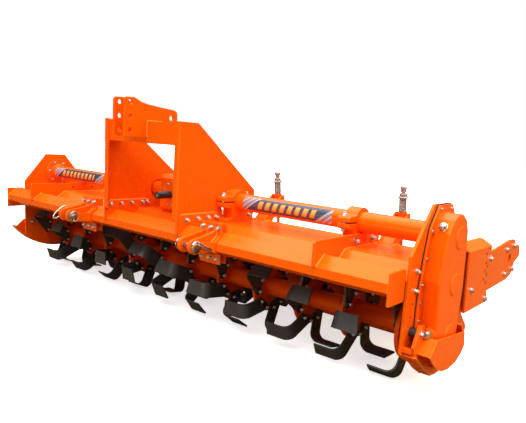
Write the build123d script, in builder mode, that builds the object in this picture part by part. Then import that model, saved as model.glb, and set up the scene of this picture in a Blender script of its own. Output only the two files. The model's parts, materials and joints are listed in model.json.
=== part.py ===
from build123d import *
import os
from math import cos, radians, sin, sqrt

# A heavy-duty rotary tiller, 2.75 m of working width, for a tractor's three-point hitch.
# +X to the machine's right-hand (gear case) end, +Y to the rear, +Z up, millimetres.
# The origin is the front end of the drive-line input shaft.

# ---------------------------------------------------------------- driving dimensions
ROTOR_Y, ROTOR_Z = 264.0, -404.0      # rotor axis
TUBE_Y, TUBE_Z = 252.0, 0.0           # side-drive tube axis, level with the input shaft
FLANGE_PITCH = 251.5                  # one gang of blades to the next
FLANGE_COUNT = 12
LAST_INNER_X, END_GANG_X = 1101.0, 1375.0  # the last evenly spaced gang, and the one at the drive end
BLADES_PER_FLANGE = 6
TIP_RADIUS = 245.0                    # blade tips
GROUND_Z = ROTOR_Z - TIP_RADIUS       # the tips stand on the ground
SIDE_X = 1440.0                       # inner faces of the two side plates
SIDE_T = 12.0

# deck and front beam, as (y, z)
BEAM_END_X = 1430.0
BEAM_WALL = 6.0
NOSE_Y, NOSE_TOP_Z, NOSE_LOW_Z = -110.0, -153.0, -189.0
RIDGE_Y, RIDGE_Z, KEEL_Z = -53.0, -109.0, -217.0
BEAM_BACK_Y = 4.0
DECK_STEP = (57.0, -142.0)
DECK_FRONT_Y, DECK_Z = 107.0, -104.0
DECK_REAR_Y = 437.0
SHEET = 6.0

# headstock
TOWER_X = 302.0                       # outer faces of the two tower plates
TOWER_T = 10.0
TOWER_FRONT_Y, TOWER_TOP_Z = -124.0, 384.0
EAR_X, EAR_T = 41.0, 12.0             # top-link ears, mid planes
LINK_HOLE_Y, LINK_HOLE_Z = -217.0, (330.0, 396.0, 462.0)
LINK_HOLE_R = 12.8

# lower hitch
HITCH_X = 498.5
HITCH_PIN_Y, HITCH_PIN_Z, HITCH_PIN_R = -218.0, -162.0, 14.2
HITCH_EAR_GAP, HITCH_EAR_T = 50.0, 15.0

# side drive
TUBE_R, TUBE_R_OUTER, TUBE_WALL = 44.0, 46.5, 7.0
CASE_OUT_X = 1535.0
RIB_X, RIB_T = 1104.5, 10.0

# trailing board and its spring rods
HINGE_Y, HINGE_Z, HINGE_R = 449.0, -128.0, 10.0
BOARD_TOP = (454.0, -142.0)
BOARD_BEND = (693.0, -424.0)
BOARD_KNEE = (796.0, -516.0)
BOARD_LIP = (764.0, GROUND_Z + 9)     # centre of the bar that the board drags on the ground
BOARD_T = 6.0
BOARD_END_X = 1428.0
ROD_X = (-1150.0, -395.0, 395.0, 1150.0)
ROD_LEAN = 8.0                        # degrees, tops leaning forward
GUIDE_Y, GUIDE_Z = 534.0, 20.0        # where the rods slide through their guides
EYE_Z = -240.0
EYE_Y = GUIDE_Y + (GUIDE_Z - EYE_Z) * sin(radians(ROD_LEAN)) / cos(radians(ROD_LEAN))
ROD_R = 9.0
ROD_TOP_REACH = 132.0                 # rod length above the guide

SIDES = (("left", -1), ("right", 1))


def outline(points, plane, thickness, mode=Mode.ADD):
    """Extrude a closed straight-sided outline off its plane into the open part."""
    with BuildSketch(plane) as face:
        with BuildLine():
            Polyline(*points, close=True)
        make_face()
    extrude(face.sketch, amount=thickness, mode=mode)


def across(x_from, x_to, y, z, radius, mode=Mode.ADD):
    """A round bar or bore along X."""
    with BuildSketch(Plane.YZ.offset(x_from)) as disc:
        with Locations((y, z)):
            Circle(radius)
    extrude(disc.sketch, amount=x_to - x_from, mode=mode)


def block(x_from, x_to, y_from, y_to, z_from, z_to, mode=Mode.ADD):
    """A rectangular block between six faces."""
    with BuildSketch(Plane.XY.offset(z_from)) as base:
        with Locations(((x_from + x_to) / 2, (y_from + y_to) / 2)):
            Rectangle(x_to - x_from, y_to - y_from)
    extrude(base.sketch, amount=z_to - z_from, mode=mode)


def over_beam():
    """The line, rear to front, that a plate standing on the deck and beam follows."""
    return [(DECK_FRONT_Y, DECK_Z), DECK_STEP, (BEAM_BACK_Y, NOSE_TOP_Z), (RIDGE_Y, RIDGE_Z),
            (NOSE_Y, NOSE_TOP_Z)]


os.makedirs("parts", exist_ok=True)

# ---------------------------------------------------------------- front beam and deck
beam_section = [(NOSE_Y, NOSE_TOP_Z), (RIDGE_Y, RIDGE_Z), (BEAM_BACK_Y, NOSE_TOP_Z),
                (BEAM_BACK_Y, NOSE_LOW_Z), (RIDGE_Y, KEEL_Z), (NOSE_Y, NOSE_LOW_Z)]
with BuildPart() as front_beam:
    with BuildSketch(Plane.YZ.offset(-BEAM_END_X)):
        with BuildLine():
            Polyline(*beam_section, close=True)
        make_face()
        offset(amount=-BEAM_WALL, kind=Kind.INTERSECTION, mode=Mode.SUBTRACT)
    extrude(amount=2 * BEAM_END_X)
front_beam.part.label = "front_beam"
export_step(front_beam.part, "parts/front_beam.step")

deck_section = [(BEAM_BACK_Y, NOSE_TOP_Z), DECK_STEP, (DECK_FRONT_Y, DECK_Z), (DECK_REAR_Y, DECK_Z),
                (DECK_REAR_Y, DECK_Z - 36), (DECK_REAR_Y - SHEET, DECK_Z - 36),
                (DECK_REAR_Y - SHEET, DECK_Z - SHEET), (DECK_FRONT_Y + 2, DECK_Z - SHEET),
                (DECK_STEP[0] + 1, DECK_STEP[1] - SHEET), (BEAM_BACK_Y, NOSE_TOP_Z - SHEET)]
with BuildPart() as deck:
    outline(deck_section, Plane.YZ.offset(-SIDE_X), 2 * SIDE_X)
deck.part.label = "deck"
export_step(deck.part, "parts/deck.step")

# ---------------------------------------------------------------- end caps of the beam
for name, side in SIDES:
    with BuildPart() as end_plate:
        outline([(-116, -236), (-116, -112), (-112, -108), (-10, -108), (BEAM_BACK_Y, -120), (BEAM_BACK_Y, -236)],
                Plane.YZ.offset(BEAM_END_X if side > 0 else -SIDE_X), SIDE_X - BEAM_END_X)
    end_plate.part.label = f"end_plate_{name}"
    export_step(end_plate.part, f"parts/end_plate_{name}.step")

# ---------------------------------------------------------------- side plates and skids
SKID_Y, SKID_Z, SKID_R, SKID_T = 255.0, -148.0, 393.0, 8.0
SKID_FRONT_DEG, SKID_REAR_DEG = 216.0, 318.0
SKID_WEB_X, SKID_WEB_T = 1486.0, 12.0
SOLE_OUT_X = SKID_WEB_X + SKID_WEB_T


def on_skid(radius, angle):
    """A point on the left skid's circle, angle in degrees from the rearward direction."""
    return (SKID_Y + radius * cos(radians(angle)), SKID_Z + radius * sin(radians(angle)))


PLATE_R = SKID_R - SKID_T
for name, side in SIDES:
    with BuildPart() as side_plate:
        with BuildSketch(Plane.YZ.offset(SIDE_X if side > 0 else -SIDE_X - SIDE_T)):
            with BuildLine():
                front_low = (11.0, SKID_Z - sqrt(PLATE_R ** 2 - (SKID_Y - 11) ** 2))
                rear_low = (452.0, SKID_Z - sqrt(PLATE_R ** 2 - (452 - SKID_Y) ** 2))
                Polyline(rear_low, (452, -44), (314, 125), (168, 125), (11, -64), front_low)
                ThreePointArc(front_low, (SKID_Y, SKID_Z - PLATE_R), rear_low)
            make_face()
            with Locations((ROTOR_Y, ROTOR_Z)):
                Circle(46, mode=Mode.SUBTRACT)
        extrude(amount=SIDE_T)
    side_plate.part.label = f"side_plate_{name}"
    export_step(side_plate.part, f"parts/side_plate_{name}.step")

with BuildPart() as skid_left:
    with BuildSketch(Plane.YZ.offset(-SOLE_OUT_X)) as sole:
        with BuildLine():
            ThreePointArc(on_skid(SKID_R, SKID_FRONT_DEG), on_skid(SKID_R, 270), on_skid(SKID_R, SKID_REAR_DEG))
            Line(on_skid(SKID_R, SKID_REAR_DEG), on_skid(PLATE_R, SKID_REAR_DEG))
            ThreePointArc(on_skid(PLATE_R, SKID_REAR_DEG), on_skid(PLATE_R, 270), on_skid(PLATE_R, SKID_FRONT_DEG))
            Line(on_skid(PLATE_R, SKID_FRONT_DEG), on_skid(SKID_R, SKID_FRONT_DEG))
        make_face()
    extrude(sole.sketch, amount=SOLE_OUT_X - SIDE_X)
    with BuildSketch(Plane.YZ.offset(-SOLE_OUT_X)) as web:
        with BuildLine():
            web_front = on_skid(PLATE_R + 1, SKID_FRONT_DEG + 4)
            web_rear = on_skid(PLATE_R + 1, SKID_REAR_DEG - 6)
            ThreePointArc(web_front, on_skid(PLATE_R + 1, 270), web_rear)
            Polyline(web_rear, (440, -400), (60, -336), (24, -340), web_front)
        make_face()
    extrude(web.sketch, amount=SKID_WEB_T)
    for z_from in (-372, -408):
        block(-SKID_WEB_X, -SIDE_X - SIDE_T, 22, 44, z_from, z_from + 18)
skid_left.part.label = "skid_left"
export_step(skid_left.part, "parts/skid_left.step")

# the right skid is set lower: its sole's upper line, front to rear, as (y, z)
sole_line = [(34, -446), (70, -470), (141, -524), (214, -568), (262, -576), (336, -576), (404, -556), (456, -506)]
sole_low = [(y - 4 if number < 4 else y + 2, z - SKID_T) for number, (y, z) in enumerate(sole_line)]
web_top = [(452, -480), (380, -520), (300, -524), (200, -524), (130, -486), (106, -420), (100, -334), (62, -330), (19, -408)]
with BuildPart() as skid_right:
    outline(sole_line + sole_low[::-1], Plane.YZ.offset(SIDE_X + SIDE_T), SOLE_OUT_X - SIDE_X - SIDE_T)
    outline(sole_line + web_top, Plane.YZ.offset(SKID_WEB_X), SKID_WEB_T)
    block(SIDE_X + SIDE_T, SKID_WEB_X + 2, 20, 40, -437, -419)
skid_right.part.label = "skid_right"
export_step(skid_right.part, "parts/skid_right.step")

BUFFER_Y, BUFFER_Z, BUFFER_R = 75.0, -367.0, 18.5
with BuildPart() as guard_buffer:
    across(SIDE_X + SIDE_T, SKID_WEB_X, BUFFER_Y, BUFFER_Z, BUFFER_R)
guard_buffer.part.label = "guard_buffer"
export_step(guard_buffer.part, "parts/guard_buffer.step")

# ---------------------------------------------------------------- deck ribs
rib_outline = [(-124, -150), (-124, -56), (-116, -48), (392, -48), (400, -56), (400, DECK_Z)] + over_beam()
for name, side in SIDES:
    with BuildPart() as rib:
        outline(rib_outline, Plane.YZ.offset(side * RIB_X - RIB_T / 2), RIB_T)
    rib.part.label = f"rib_{name}"
    export_step(rib.part, f"parts/rib_{name}.step")

# ---------------------------------------------------------------- headstock
FLANGE_IN = 34.0
TUBE_HOLE_R = 58.0
CORNER_R = 9.0                        # bend radius of the towers' front corners
tower_outline = [(TOWER_FRONT_Y, -156), (TOWER_FRONT_Y, TOWER_TOP_Z), (-6, TOWER_TOP_Z), (434, 54),
                 (437, 48), (437, DECK_Z)] + over_beam()
for name, side in SIDES:
    inner = side * (TOWER_X - TOWER_T)
    with BuildPart() as tower_plate:
        outline(tower_outline, Plane.YZ.offset(min(side * TOWER_X, inner)), TOWER_T)
        block(min(side * (TOWER_X - FLANGE_IN), inner), max(side * (TOWER_X - FLANGE_IN), inner),
              TOWER_FRONT_Y, TOWER_FRONT_Y + TOWER_T, -97, TOWER_TOP_Z)
        across(min(side * TOWER_X, inner), max(side * TOWER_X, inner), TUBE_Y, TUBE_Z, TUBE_HOLE_R, Mode.SUBTRACT)
        corners = tower_plate.edges().filter_by(Axis.Z).filter_by_position(Axis.Y, TOWER_FRONT_Y - 1, TOWER_FRONT_Y + 1)
        fillet(corners.filter_by_position(Axis.X, side * TOWER_X - 1, side * TOWER_X + 1), CORNER_R)
    tower_plate.part.label = f"tower_plate_{name}"
    export_step(tower_plate.part, f"parts/tower_plate_{name}.step")

STRIP_T = 8.0
strip_outline = ([(-107, NOSE_TOP_Z + 2.4), (-107, -62), (-103, -58), (400, -58), (400, DECK_Z)] + over_beam()[:-1])
for name, side in SIDES:
    with BuildPart() as tower_base:
        for face in (side * TOWER_X, side * (TOWER_X - TOWER_T - STRIP_T)):
            outline(strip_outline, Plane.YZ.offset(face if side > 0 else face - STRIP_T), STRIP_T)
            across(face - STRIP_T - 1, face + STRIP_T + 1, TUBE_Y, TUBE_Z, TUBE_HOLE_R, Mode.SUBTRACT)
    tower_base.part.label = f"tower_base_{name}"
    export_step(tower_base.part, f"parts/tower_base_{name}.step")

CROSS_FRONT_Y, CROSS_BACK_Y, CROSS_LOW_Z, CROSS_TOP_Z = -124.0, -24.0, 271.0, 379.0
CROSS_WALL = 8.0
with BuildPart() as cross_member:
    half = TOWER_X - TOWER_T
    block(-half, half, CROSS_FRONT_Y + TOWER_T, CROSS_BACK_Y, CROSS_LOW_Z, CROSS_TOP_Z)
    block(-half, half, CROSS_FRONT_Y + TOWER_T + CROSS_WALL, CROSS_BACK_Y - CROSS_WALL,
          CROSS_LOW_Z + CROSS_WALL, CROSS_TOP_Z - CROSS_WALL, Mode.SUBTRACT)
cross_member.part.label = "cross_member"
export_step(cross_member.part, "parts/cross_member.step")

ear_front_y = CROSS_FRONT_Y + TOWER_T
ear_outline = [(-250, 300), (-250, 474), (-241, 484), (-194, 486), (-152, 468), (-112, 460), (-32, 452), (56, 445),
               (74, 438), (80, 424), (80, CROSS_TOP_Z), (ear_front_y, CROSS_TOP_Z), (ear_front_y, 298)]
with BuildPart() as toplink_ears:
    for side in (-1, 1):
        outline(ear_outline, Plane.YZ.offset(side * EAR_X - EAR_T / 2), EAR_T)
        for hole_z in LINK_HOLE_Z:
            across(side * EAR_X - EAR_T, side * EAR_X + EAR_T, LINK_HOLE_Y, hole_z, LINK_HOLE_R, Mode.SUBTRACT)
        across(side * EAR_X - EAR_T, side * EAR_X + EAR_T, 41, 403, 14, Mode.SUBTRACT)
toplink_ears.part.label = "toplink_ears"
export_step(toplink_ears.part, "parts/toplink_ears.step")

# ---------------------------------------------------------------- lower hitch brackets and pins
BASE_T = 10.0
BASE_HALF_W = 65.0
BASE_BACK_Y, BASE_FRONT_Y = -74.0, -84.0
GUSSET_T, GUSSET_TIP_Y, GUSSET_LOW_Z, GUSSET_H = 8.0, -188.0, -194.0, 48.0
slope_share = (BASE_BACK_Y - NOSE_Y) / (RIDGE_Y - NOSE_Y)
base_inner = [(BASE_BACK_Y, -66), (BASE_BACK_Y, NOSE_TOP_Z + slope_share * (RIDGE_Z - NOSE_TOP_Z)), (NOSE_Y, NOSE_TOP_Z),
              (NOSE_Y, NOSE_LOW_Z), (BASE_BACK_Y, NOSE_LOW_Z + slope_share * (KEEL_Z - NOSE_LOW_Z)),
              (BASE_BACK_Y, -258)]
base_outer = [(BASE_FRONT_Y, -258), (BASE_FRONT_Y, -212), (NOSE_Y - BASE_T, -195), (NOSE_Y - BASE_T, -149),
              (BASE_FRONT_Y, -122), (BASE_FRONT_Y, -66)]
ear_profile = [(BASE_FRONT_Y, -98), (-139, -113), (-212, -126), (-212, -196), (-176, -198), (-133, -206),
               (BASE_FRONT_Y, -216)] + base_outer[1:5]
# plates behind the beam that the base is bolted to, one over the ridge and one under the keel
clamp_plates = ([(-48, -68), (-38, -68), (-38, -120.5), (-48, -112.8)], [(-48, -214.6), (-38, -209.7), (-38, -256), (-48, -256)])
for name, side in SIDES:
    centre = side * HITCH_X
    gap = HITCH_EAR_GAP / 2
    with BuildPart() as hitch_bracket:
        outline(base_inner + base_outer, Plane.YZ.offset(centre - BASE_HALF_W), 2 * BASE_HALF_W)
        for ear_x in (centre - gap - HITCH_EAR_T, centre + gap):
            outline(ear_profile, Plane.YZ.offset(ear_x), HITCH_EAR_T)
            across(ear_x, ear_x + HITCH_EAR_T, HITCH_PIN_Y, HITCH_PIN_Z, 35)
        for out in (-1, 1):
            wing = [(centre + out * (gap + HITCH_EAR_T), NOSE_Y - BASE_T), (centre + out * BASE_HALF_W, NOSE_Y - BASE_T),
                    (centre + out * (gap + HITCH_EAR_T), GUSSET_TIP_Y)]
            outline(wing, Plane.XY.offset(-166), GUSSET_T)
            gusset = [(centre + out * BASE_HALF_W, NOSE_Y - BASE_T), (centre + out * (gap + HITCH_EAR_T), GUSSET_TIP_Y),
                      (centre + out * (gap + HITCH_EAR_T), GUSSET_TIP_Y + 2 * GUSSET_T),
                      (centre + out * (BASE_HALF_W - GUSSET_T), NOSE_Y - BASE_T)]
            outline(gusset, Plane.XY.offset(GUSSET_LOW_Z), GUSSET_H)
        across(centre - BASE_HALF_W, centre + BASE_HALF_W, HITCH_PIN_Y, HITCH_PIN_Z, HITCH_PIN_R + 0.3, Mode.SUBTRACT)
        for plate in clamp_plates:
            outline(plate, Plane.YZ.offset(centre - BASE_HALF_W), 2 * BASE_HALF_W)
    hitch_bracket.part.label = f"hitch_bracket_{name}"
    export_step(hitch_bracket.part, f"parts/hitch_bracket_{name}.step")

    ear_out = gap + HITCH_EAR_T
    with BuildPart() as hitch_pin:
        across(centre - ear_out - 24, centre + ear_out + 2, HITCH_PIN_Y, HITCH_PIN_Z, HITCH_PIN_R)
        across(centre + ear_out + 1, centre + ear_out + 9, HITCH_PIN_Y, HITCH_PIN_Z, 27)
    hitch_pin.part.label = f"hitch_pin_{name}"
    export_step(hitch_pin.part, f"parts/hitch_pin_{name}.step")

# ---------------------------------------------------------------- centre gearbox and input shaft
GEARBOX_HALF = 115.0
GEARBOX_FRONT_Y, GEARBOX_BACK_Y, GEARBOX_TOP_Z = 118.0, 386.0, 104.0
SHAFT_R = 17.4
SLEEVE_R = 19.5
with BuildPart() as gearbox:
    block(-GEARBOX_HALF, GEARBOX_HALF, GEARBOX_FRONT_Y, GEARBOX_BACK_Y, DECK_Z, GEARBOX_TOP_Z)
    chamfer(gearbox.edges().filter_by(Axis.X), 22)
    across(-152, 152, TUBE_Y, TUBE_Z, 78)
    with BuildSketch(Plane.XZ.offset(-GEARBOX_FRONT_Y)):
        Circle(72)
    extrude(amount=24)
    with BuildSketch(Plane.XZ.offset(-(GEARBOX_FRONT_Y + 60))):
        Circle(SHAFT_R + 0.1)
    extrude(amount=120, mode=Mode.SUBTRACT)
gearbox.part.label = "gearbox"
export_step(gearbox.part, "parts/gearbox.step")

with BuildPart() as input_shaft:
    with BuildSketch(Plane.XZ.offset(0)):
        Circle(SHAFT_R)
    extrude(amount=-(GEARBOX_FRONT_Y + 50))
input_shaft.part.label = "input_shaft"
export_step(input_shaft.part, "parts/input_shaft.step")

with BuildPart() as shaft_sleeve:
    with BuildSketch(Plane.XZ.offset(-3)):
        Circle(SLEEVE_R)
        Circle(SHAFT_R, mode=Mode.SUBTRACT)
    extrude(amount=-84)
shaft_sleeve.part.label = "shaft_sleeve"
export_step(shaft_sleeve.part, "parts/shaft_sleeve.step")

# ---------------------------------------------------------------- drive tubes and clamps
GEARBOX_FACE_X = 152.0
TUBE_STEP_X = 1030.0
TUBE_FLANGE_R, TUBE_FLANGE_T = 88.0, 12.0
with BuildPart() as tube_left:
    across(-SIDE_X, -GEARBOX_FACE_X, TUBE_Y, TUBE_Z, TUBE_R)
    across(-SIDE_X, -SIDE_X + TUBE_FLANGE_T, TUBE_Y, TUBE_Z, TUBE_FLANGE_R)
    across(-SIDE_X, -GEARBOX_FACE_X, TUBE_Y, TUBE_Z, TUBE_R - TUBE_WALL, Mode.SUBTRACT)
tube_left.part.label = "tube_left"
export_step(tube_left.part, "parts/tube_left.step")

with BuildPart() as tube_right:
    across(GEARBOX_FACE_X, TUBE_STEP_X, TUBE_Y, TUBE_Z, TUBE_R)
    across(TUBE_STEP_X, SIDE_X, TUBE_Y, TUBE_Z, TUBE_R_OUTER)
    across(GEARBOX_FACE_X, SIDE_X, TUBE_Y, TUBE_Z, TUBE_R - TUBE_WALL, Mode.SUBTRACT)
tube_right.part.label = "tube_right"
export_step(tube_right.part, "parts/tube_right.step")

CLAMP_W, CLAMP_R = 62.0, 63.0
CLAMP_EAR_OUT, CLAMP_EAR_T, CLAMP_SPLIT = 112.0, 24.0, 4.0
strip_face = TOWER_X + STRIP_T
rib_face = RIB_X - RIB_T / 2
for name, x_from, bore in (("tower_left", -strip_face - CLAMP_W, TUBE_R), ("tower_right", strip_face, TUBE_R),
                           ("rib_right", rib_face - CLAMP_W, TUBE_R_OUTER)):
    x_to = x_from + CLAMP_W
    with BuildPart() as tube_clamp:
        across(x_from, x_to, TUBE_Y, TUBE_Z, CLAMP_R)
        ear_z = CLAMP_SPLIT + CLAMP_EAR_T
        cap = [(-CLAMP_EAR_OUT, 20), (-CLAMP_EAR_OUT + 8, ear_z), (-68, ear_z), (-52, 34), (52, 34), (68, ear_z),
               (CLAMP_EAR_OUT - 8, ear_z), (CLAMP_EAR_OUT, 20)]
        foot = [(CLAMP_EAR_OUT, -20), (CLAMP_EAR_OUT - 8, -ear_z), (64, -ear_z), (56, -80), (104, -90), (104, DECK_Z),
                (-104, DECK_Z), (-104, -90), (-56, -80), (-64, -ear_z), (-CLAMP_EAR_OUT + 8, -ear_z), (-CLAMP_EAR_OUT, -20)]
        outline([(TUBE_Y + y, z) for y, z in cap + foot], Plane.YZ.offset(x_from), CLAMP_W)
        block(x_from, x_to, TUBE_Y - CLAMP_EAR_OUT - 1, TUBE_Y + CLAMP_EAR_OUT + 1,
              -CLAMP_SPLIT, CLAMP_SPLIT, Mode.SUBTRACT)
        across(x_from, x_to, TUBE_Y, TUBE_Z, bore, Mode.SUBTRACT)
    tube_clamp.part.label = f"tube_clamp_{name}"
    export_step(tube_clamp.part, f"parts/tube_clamp_{name}.step")

# ---------------------------------------------------------------- side gear case
CASE_FLANGE_T = 12.0
case_flange_x = SIDE_X + SIDE_T
# the cast body, as (y at the flange, y at the outer face, z) going round from its front foot
case_rows = [(176, 150, -466), (150, 125, -404), (148, 124, -372), (121, 95, -164), (137, 113, -70), (156, 136, 23),
             (182, 170, 72), (222, 215, 93), (258, 262, 93), (300, 308, 68), (326, 336, 22), (334, 344, -28),
             (352, 362, -208), (346, 356, -404), (330, 340, -466), (292, 300, -496), (208, 200, -496)]
flange_outline = [(100, -440), (92, -190), (106, -80), (128, 34), (192, 122), (318, 122), (352, 84), (372, -28),
                  (386, -208), (380, -440), (340, -510), (160, -510)]
CASE_DISC_R, CASE_DISC_T = 46.0, 4.0
case_discs = ((TUBE_Y, TUBE_Z), (256.0, -190.0), (ROTOR_Y, ROTOR_Z))
PLUG_X, PLUG_Z, PLUG_BOSS_R = 1508.0, -373.0, 25.0
with BuildPart() as gear_case:
    outline(flange_outline, Plane.YZ.offset(case_flange_x), CASE_FLANGE_T)
    for column, x in ((0, case_flange_x + CASE_FLANGE_T), (1, CASE_OUT_X)):
        with BuildSketch(Plane.YZ.offset(x)) as ring:
            with BuildLine():
                Polyline(*[(row[column], row[2]) for row in case_rows], close=True)
            make_face()
            fillet(ring.vertices(), 11)
    loft(ruled=True)
    fillet(gear_case.faces().sort_by(Axis.X)[-1].edges(), 7)
    for disc_y, disc_z in case_discs:
        across(CASE_OUT_X - 1, CASE_OUT_X + CASE_DISC_T, disc_y, disc_z, CASE_DISC_R)
    rims = gear_case.edges().filter_by(GeomType.CIRCLE).filter_by_position(Axis.X, CASE_OUT_X + CASE_DISC_T - 0.5, CASE_OUT_X + 9)
    chamfer(rims, CASE_DISC_T - 0.5)
    with BuildSketch(Plane.XZ.offset(-112)) as boss:
        with Locations((PLUG_X, PLUG_Z)):
            Circle(PLUG_BOSS_R)
    extrude(boss.sketch, amount=-40)
    across(case_flange_x, case_flange_x + 40, ROTOR_Y, ROTOR_Z, 46, Mode.SUBTRACT)
gear_case.part.label = "gear_case"
export_step(gear_case.part, "parts/gear_case.step")

guard_outline = [(99, -381), (50, -440), (78, -468), (128, -506), (186, -531), (251, -540), (335, -533), (394, -505),
                 (420, -480), (402, -414), (127, -383)]
GUARD_OUT_X, GUARD_T = 1554.0, 6.0
with BuildPart() as case_guard:
    outline(guard_outline, Plane.YZ.offset(GUARD_OUT_X - GUARD_T), GUARD_T)
    front_wall = [(104, -381), (55, -440), (61, -444), (110, -385)]
    rear_wall = [(372, -376), (402, -414), (420, -480), (394, -505), (335, -533), (251, -540), (186, -531), (187, -525),
                 (251, -534), (334, -527), (391, -500), (414, -478), (396, -417), (366, -380)]
    for wall in (front_wall, rear_wall):
        outline(wall, Plane.YZ.offset(SOLE_OUT_X), GUARD_OUT_X - SOLE_OUT_X - GUARD_T)
    sill = [(128, -506), (186, -531), (251, -537), (334, -530), (391, -502), (360, -480), (338, -489), (304, -506),
            (196, -506), (166, -484), (130, -462), (84, -468)]
    outline(sill, Plane.YZ.offset(SOLE_OUT_X), GUARD_T)
case_guard.part.label = "case_guard"
export_step(case_guard.part, "parts/case_guard.step")

# ---------------------------------------------------------------- rotor
ROTOR_TUBE_R, ROTOR_TUBE_WALL = 46.0, 8.0
ROTOR_FLANGE_R, ROTOR_FLANGE_T = 129.0, 15.0
END_FLANGE_R, END_FLANGE_T = 144.0, 18.0
STUB_R = 30.0
LAST = FLANGE_COUNT - 1
# every gang: the middle of its flange, its thickness and radius
gangs = [(LAST_INNER_X - FLANGE_PITCH * (LAST - 1 - number), ROTOR_FLANGE_T, ROTOR_FLANGE_R) for number in range(LAST)]
gangs.append((END_GANG_X, END_FLANGE_T, END_FLANGE_R))
tube_from, tube_to = gangs[0][0] - 10, gangs[LAST][0] + 20
with BuildPart() as rotor_shaft:
    across(tube_from, tube_to, ROTOR_Y, ROTOR_Z, ROTOR_TUBE_R)
    for x, thickness, radius in gangs:
        across(x - thickness / 2, x + thickness / 2, ROTOR_Y, ROTOR_Z, radius)
    across(tube_from, tube_to, ROTOR_Y, ROTOR_Z, ROTOR_TUBE_R - ROTOR_TUBE_WALL, Mode.SUBTRACT)
    for x_from, x_to in ((-SIDE_X - 30, gangs[0][0]), (gangs[LAST][0], SIDE_X + 50)):
        across(x_from, x_to, ROTOR_Y, ROTOR_Z, STUB_R)
        across(max(x_from, tube_from), min(x_to, tube_to), ROTOR_Y, ROTOR_Z, ROTOR_TUBE_R - ROTOR_TUBE_WALL)
rotor_shaft.part.label = "rotor_shaft"
export_step(rotor_shaft.part, "parts/rotor_shaft.step")

BLADE_T, BLADE_W, BLADE_REACH, BLADE_BEND_R = 8.0, 76.0, 142.0, 45.0
BLADE_END_CUT = 14.0                  # the trailing edge of the wing is this much shorter
BOLT_CIRCLE_R = 112.0                 # twelve bolts to a flange, two for each blade
BLADE_RISE = 135.0                    # along the leg, from the bolt circle to the outside of the wing
BLADE_ROOT = -42.0
BLADE_SWEEP = 41.0                    # degrees the leg leans back from the radius through its bolts
FIRST_PHASE, PHASE_STEP = 131.0, -15.0  # degrees up from straight ahead, and from one gang to the next


def blade(side):
    """One blade, leg up +Z from the middle of its bolts, wing bent towards side along Y."""
    near = BLADE_T if side < 0 else 0.0
    far = BLADE_T - near
    turn_y = near + side * BLADE_BEND_R
    low = BLADE_RISE - BLADE_BEND_R
    end_y = turn_y + side * (BLADE_REACH - BLADE_BEND_R)
    inner_r = BLADE_BEND_R - BLADE_T
    with BuildSketch(Plane.YZ.offset(-BLADE_W / 2)) as bend:
        with BuildLine():
            Line((near, BLADE_ROOT), (near, low))
            CenterArc((turn_y, low), BLADE_BEND_R, 180 if side > 0 else 0, -90 if side > 0 else 90)
            Polyline((turn_y, BLADE_RISE), (end_y, BLADE_RISE), (end_y, BLADE_RISE - BLADE_T), (turn_y, BLADE_RISE - BLADE_T))
            CenterArc((turn_y, low), inner_r, 90, 90 if side > 0 else -90)
            Polyline((far, low), (far, BLADE_ROOT), (near, BLADE_ROOT))
        make_face()
    half = BLADE_W / 2
    root = [(-half, 200), (-half, 2), (4, BLADE_ROOT), (28, BLADE_ROOT), (half, -32), (half, 200)]
    with BuildSketch(Plane.XZ.offset(-200)) as front:
        with BuildLine():
            Polyline(*root, close=True)
        make_face()
        fillet([corner for corner in front.vertices() if corner.Z < 10], 8)
    with BuildPart() as body:
        extrude(bend.sketch, amount=BLADE_W)
        extrude(front.sketch, amount=400, mode=Mode.INTERSECT)
        outline([(-half - 1, end_y + side), (half + 1, end_y + side), (-half - 1, end_y - side * BLADE_END_CUT)],
                Plane.XY.offset(BLADE_RISE - 20), 40, Mode.SUBTRACT)
    return body.part


hands = {-1: blade(-1), 1: blade(1)}
for name, side in SIDES:
    pieces = []
    for number, (x, thickness, radius) in enumerate(gangs):
        if (number == 0 and side < 0) or (number == LAST and side > 0):
            continue
        # roots lie on each flange's right-hand face, but on the inner face of the last one
        face_x = x + thickness / 2 if number < LAST else x - thickness / 2 - BLADE_T
        for spoke in range(BLADES_PER_FLANGE // 2):
            ahead = FIRST_PHASE + PHASE_STEP * number + 120 * spoke + (60 if side < 0 else 0)
            place = (Location((face_x, ROTOR_Y, ROTOR_Z), (90 - ahead, 0, 0)) * Location((0, 0, 0), (0, 0, -90))
                     * Location((0, 0, BOLT_CIRCLE_R), (0, -BLADE_SWEEP, 0)))
            pieces.append(hands[side].moved(place))
    blades = Compound(pieces)
    blades.label = f"blades_{name}"
    export_step(blades, f"parts/blades_{name}.step")

with BuildPart() as bearing_housing:
    across(-SIDE_X, -SIDE_X + 10, ROTOR_Y, ROTOR_Z, 119)
    across(-SIDE_X - SIDE_T - 26, -SIDE_X - SIDE_T, ROTOR_Y, ROTOR_Z, 62)
    across(-SIDE_X - SIDE_T - 26, -SIDE_X + 10, ROTOR_Y, ROTOR_Z, STUB_R + 0.05, Mode.SUBTRACT)
bearing_housing.part.label = "bearing_housing"
export_step(bearing_housing.part, "parts/bearing_housing.step")

# ---------------------------------------------------------------- trailing board
HINGE_X = (-1300.0, -780.0, -260.0, 260.0, 780.0, 1300.0)
KNUCKLE = 40.0
PIN_R = 6.0
with BuildPart() as board_hinges:
    for x in HINGE_X:
        across(x - KNUCKLE - 1, x - 1, HINGE_Y, HINGE_Z, HINGE_R)
        block(x - KNUCKLE - 1, x - 1, DECK_REAR_Y, HINGE_Y, HINGE_Z - 8, HINGE_Z + 8)
        across(x - KNUCKLE - 1, x - 1, HINGE_Y, HINGE_Z, PIN_R, Mode.SUBTRACT)
board_hinges.part.label = "board_hinges"
export_step(board_hinges.part, "parts/board_hinges.step")

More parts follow.
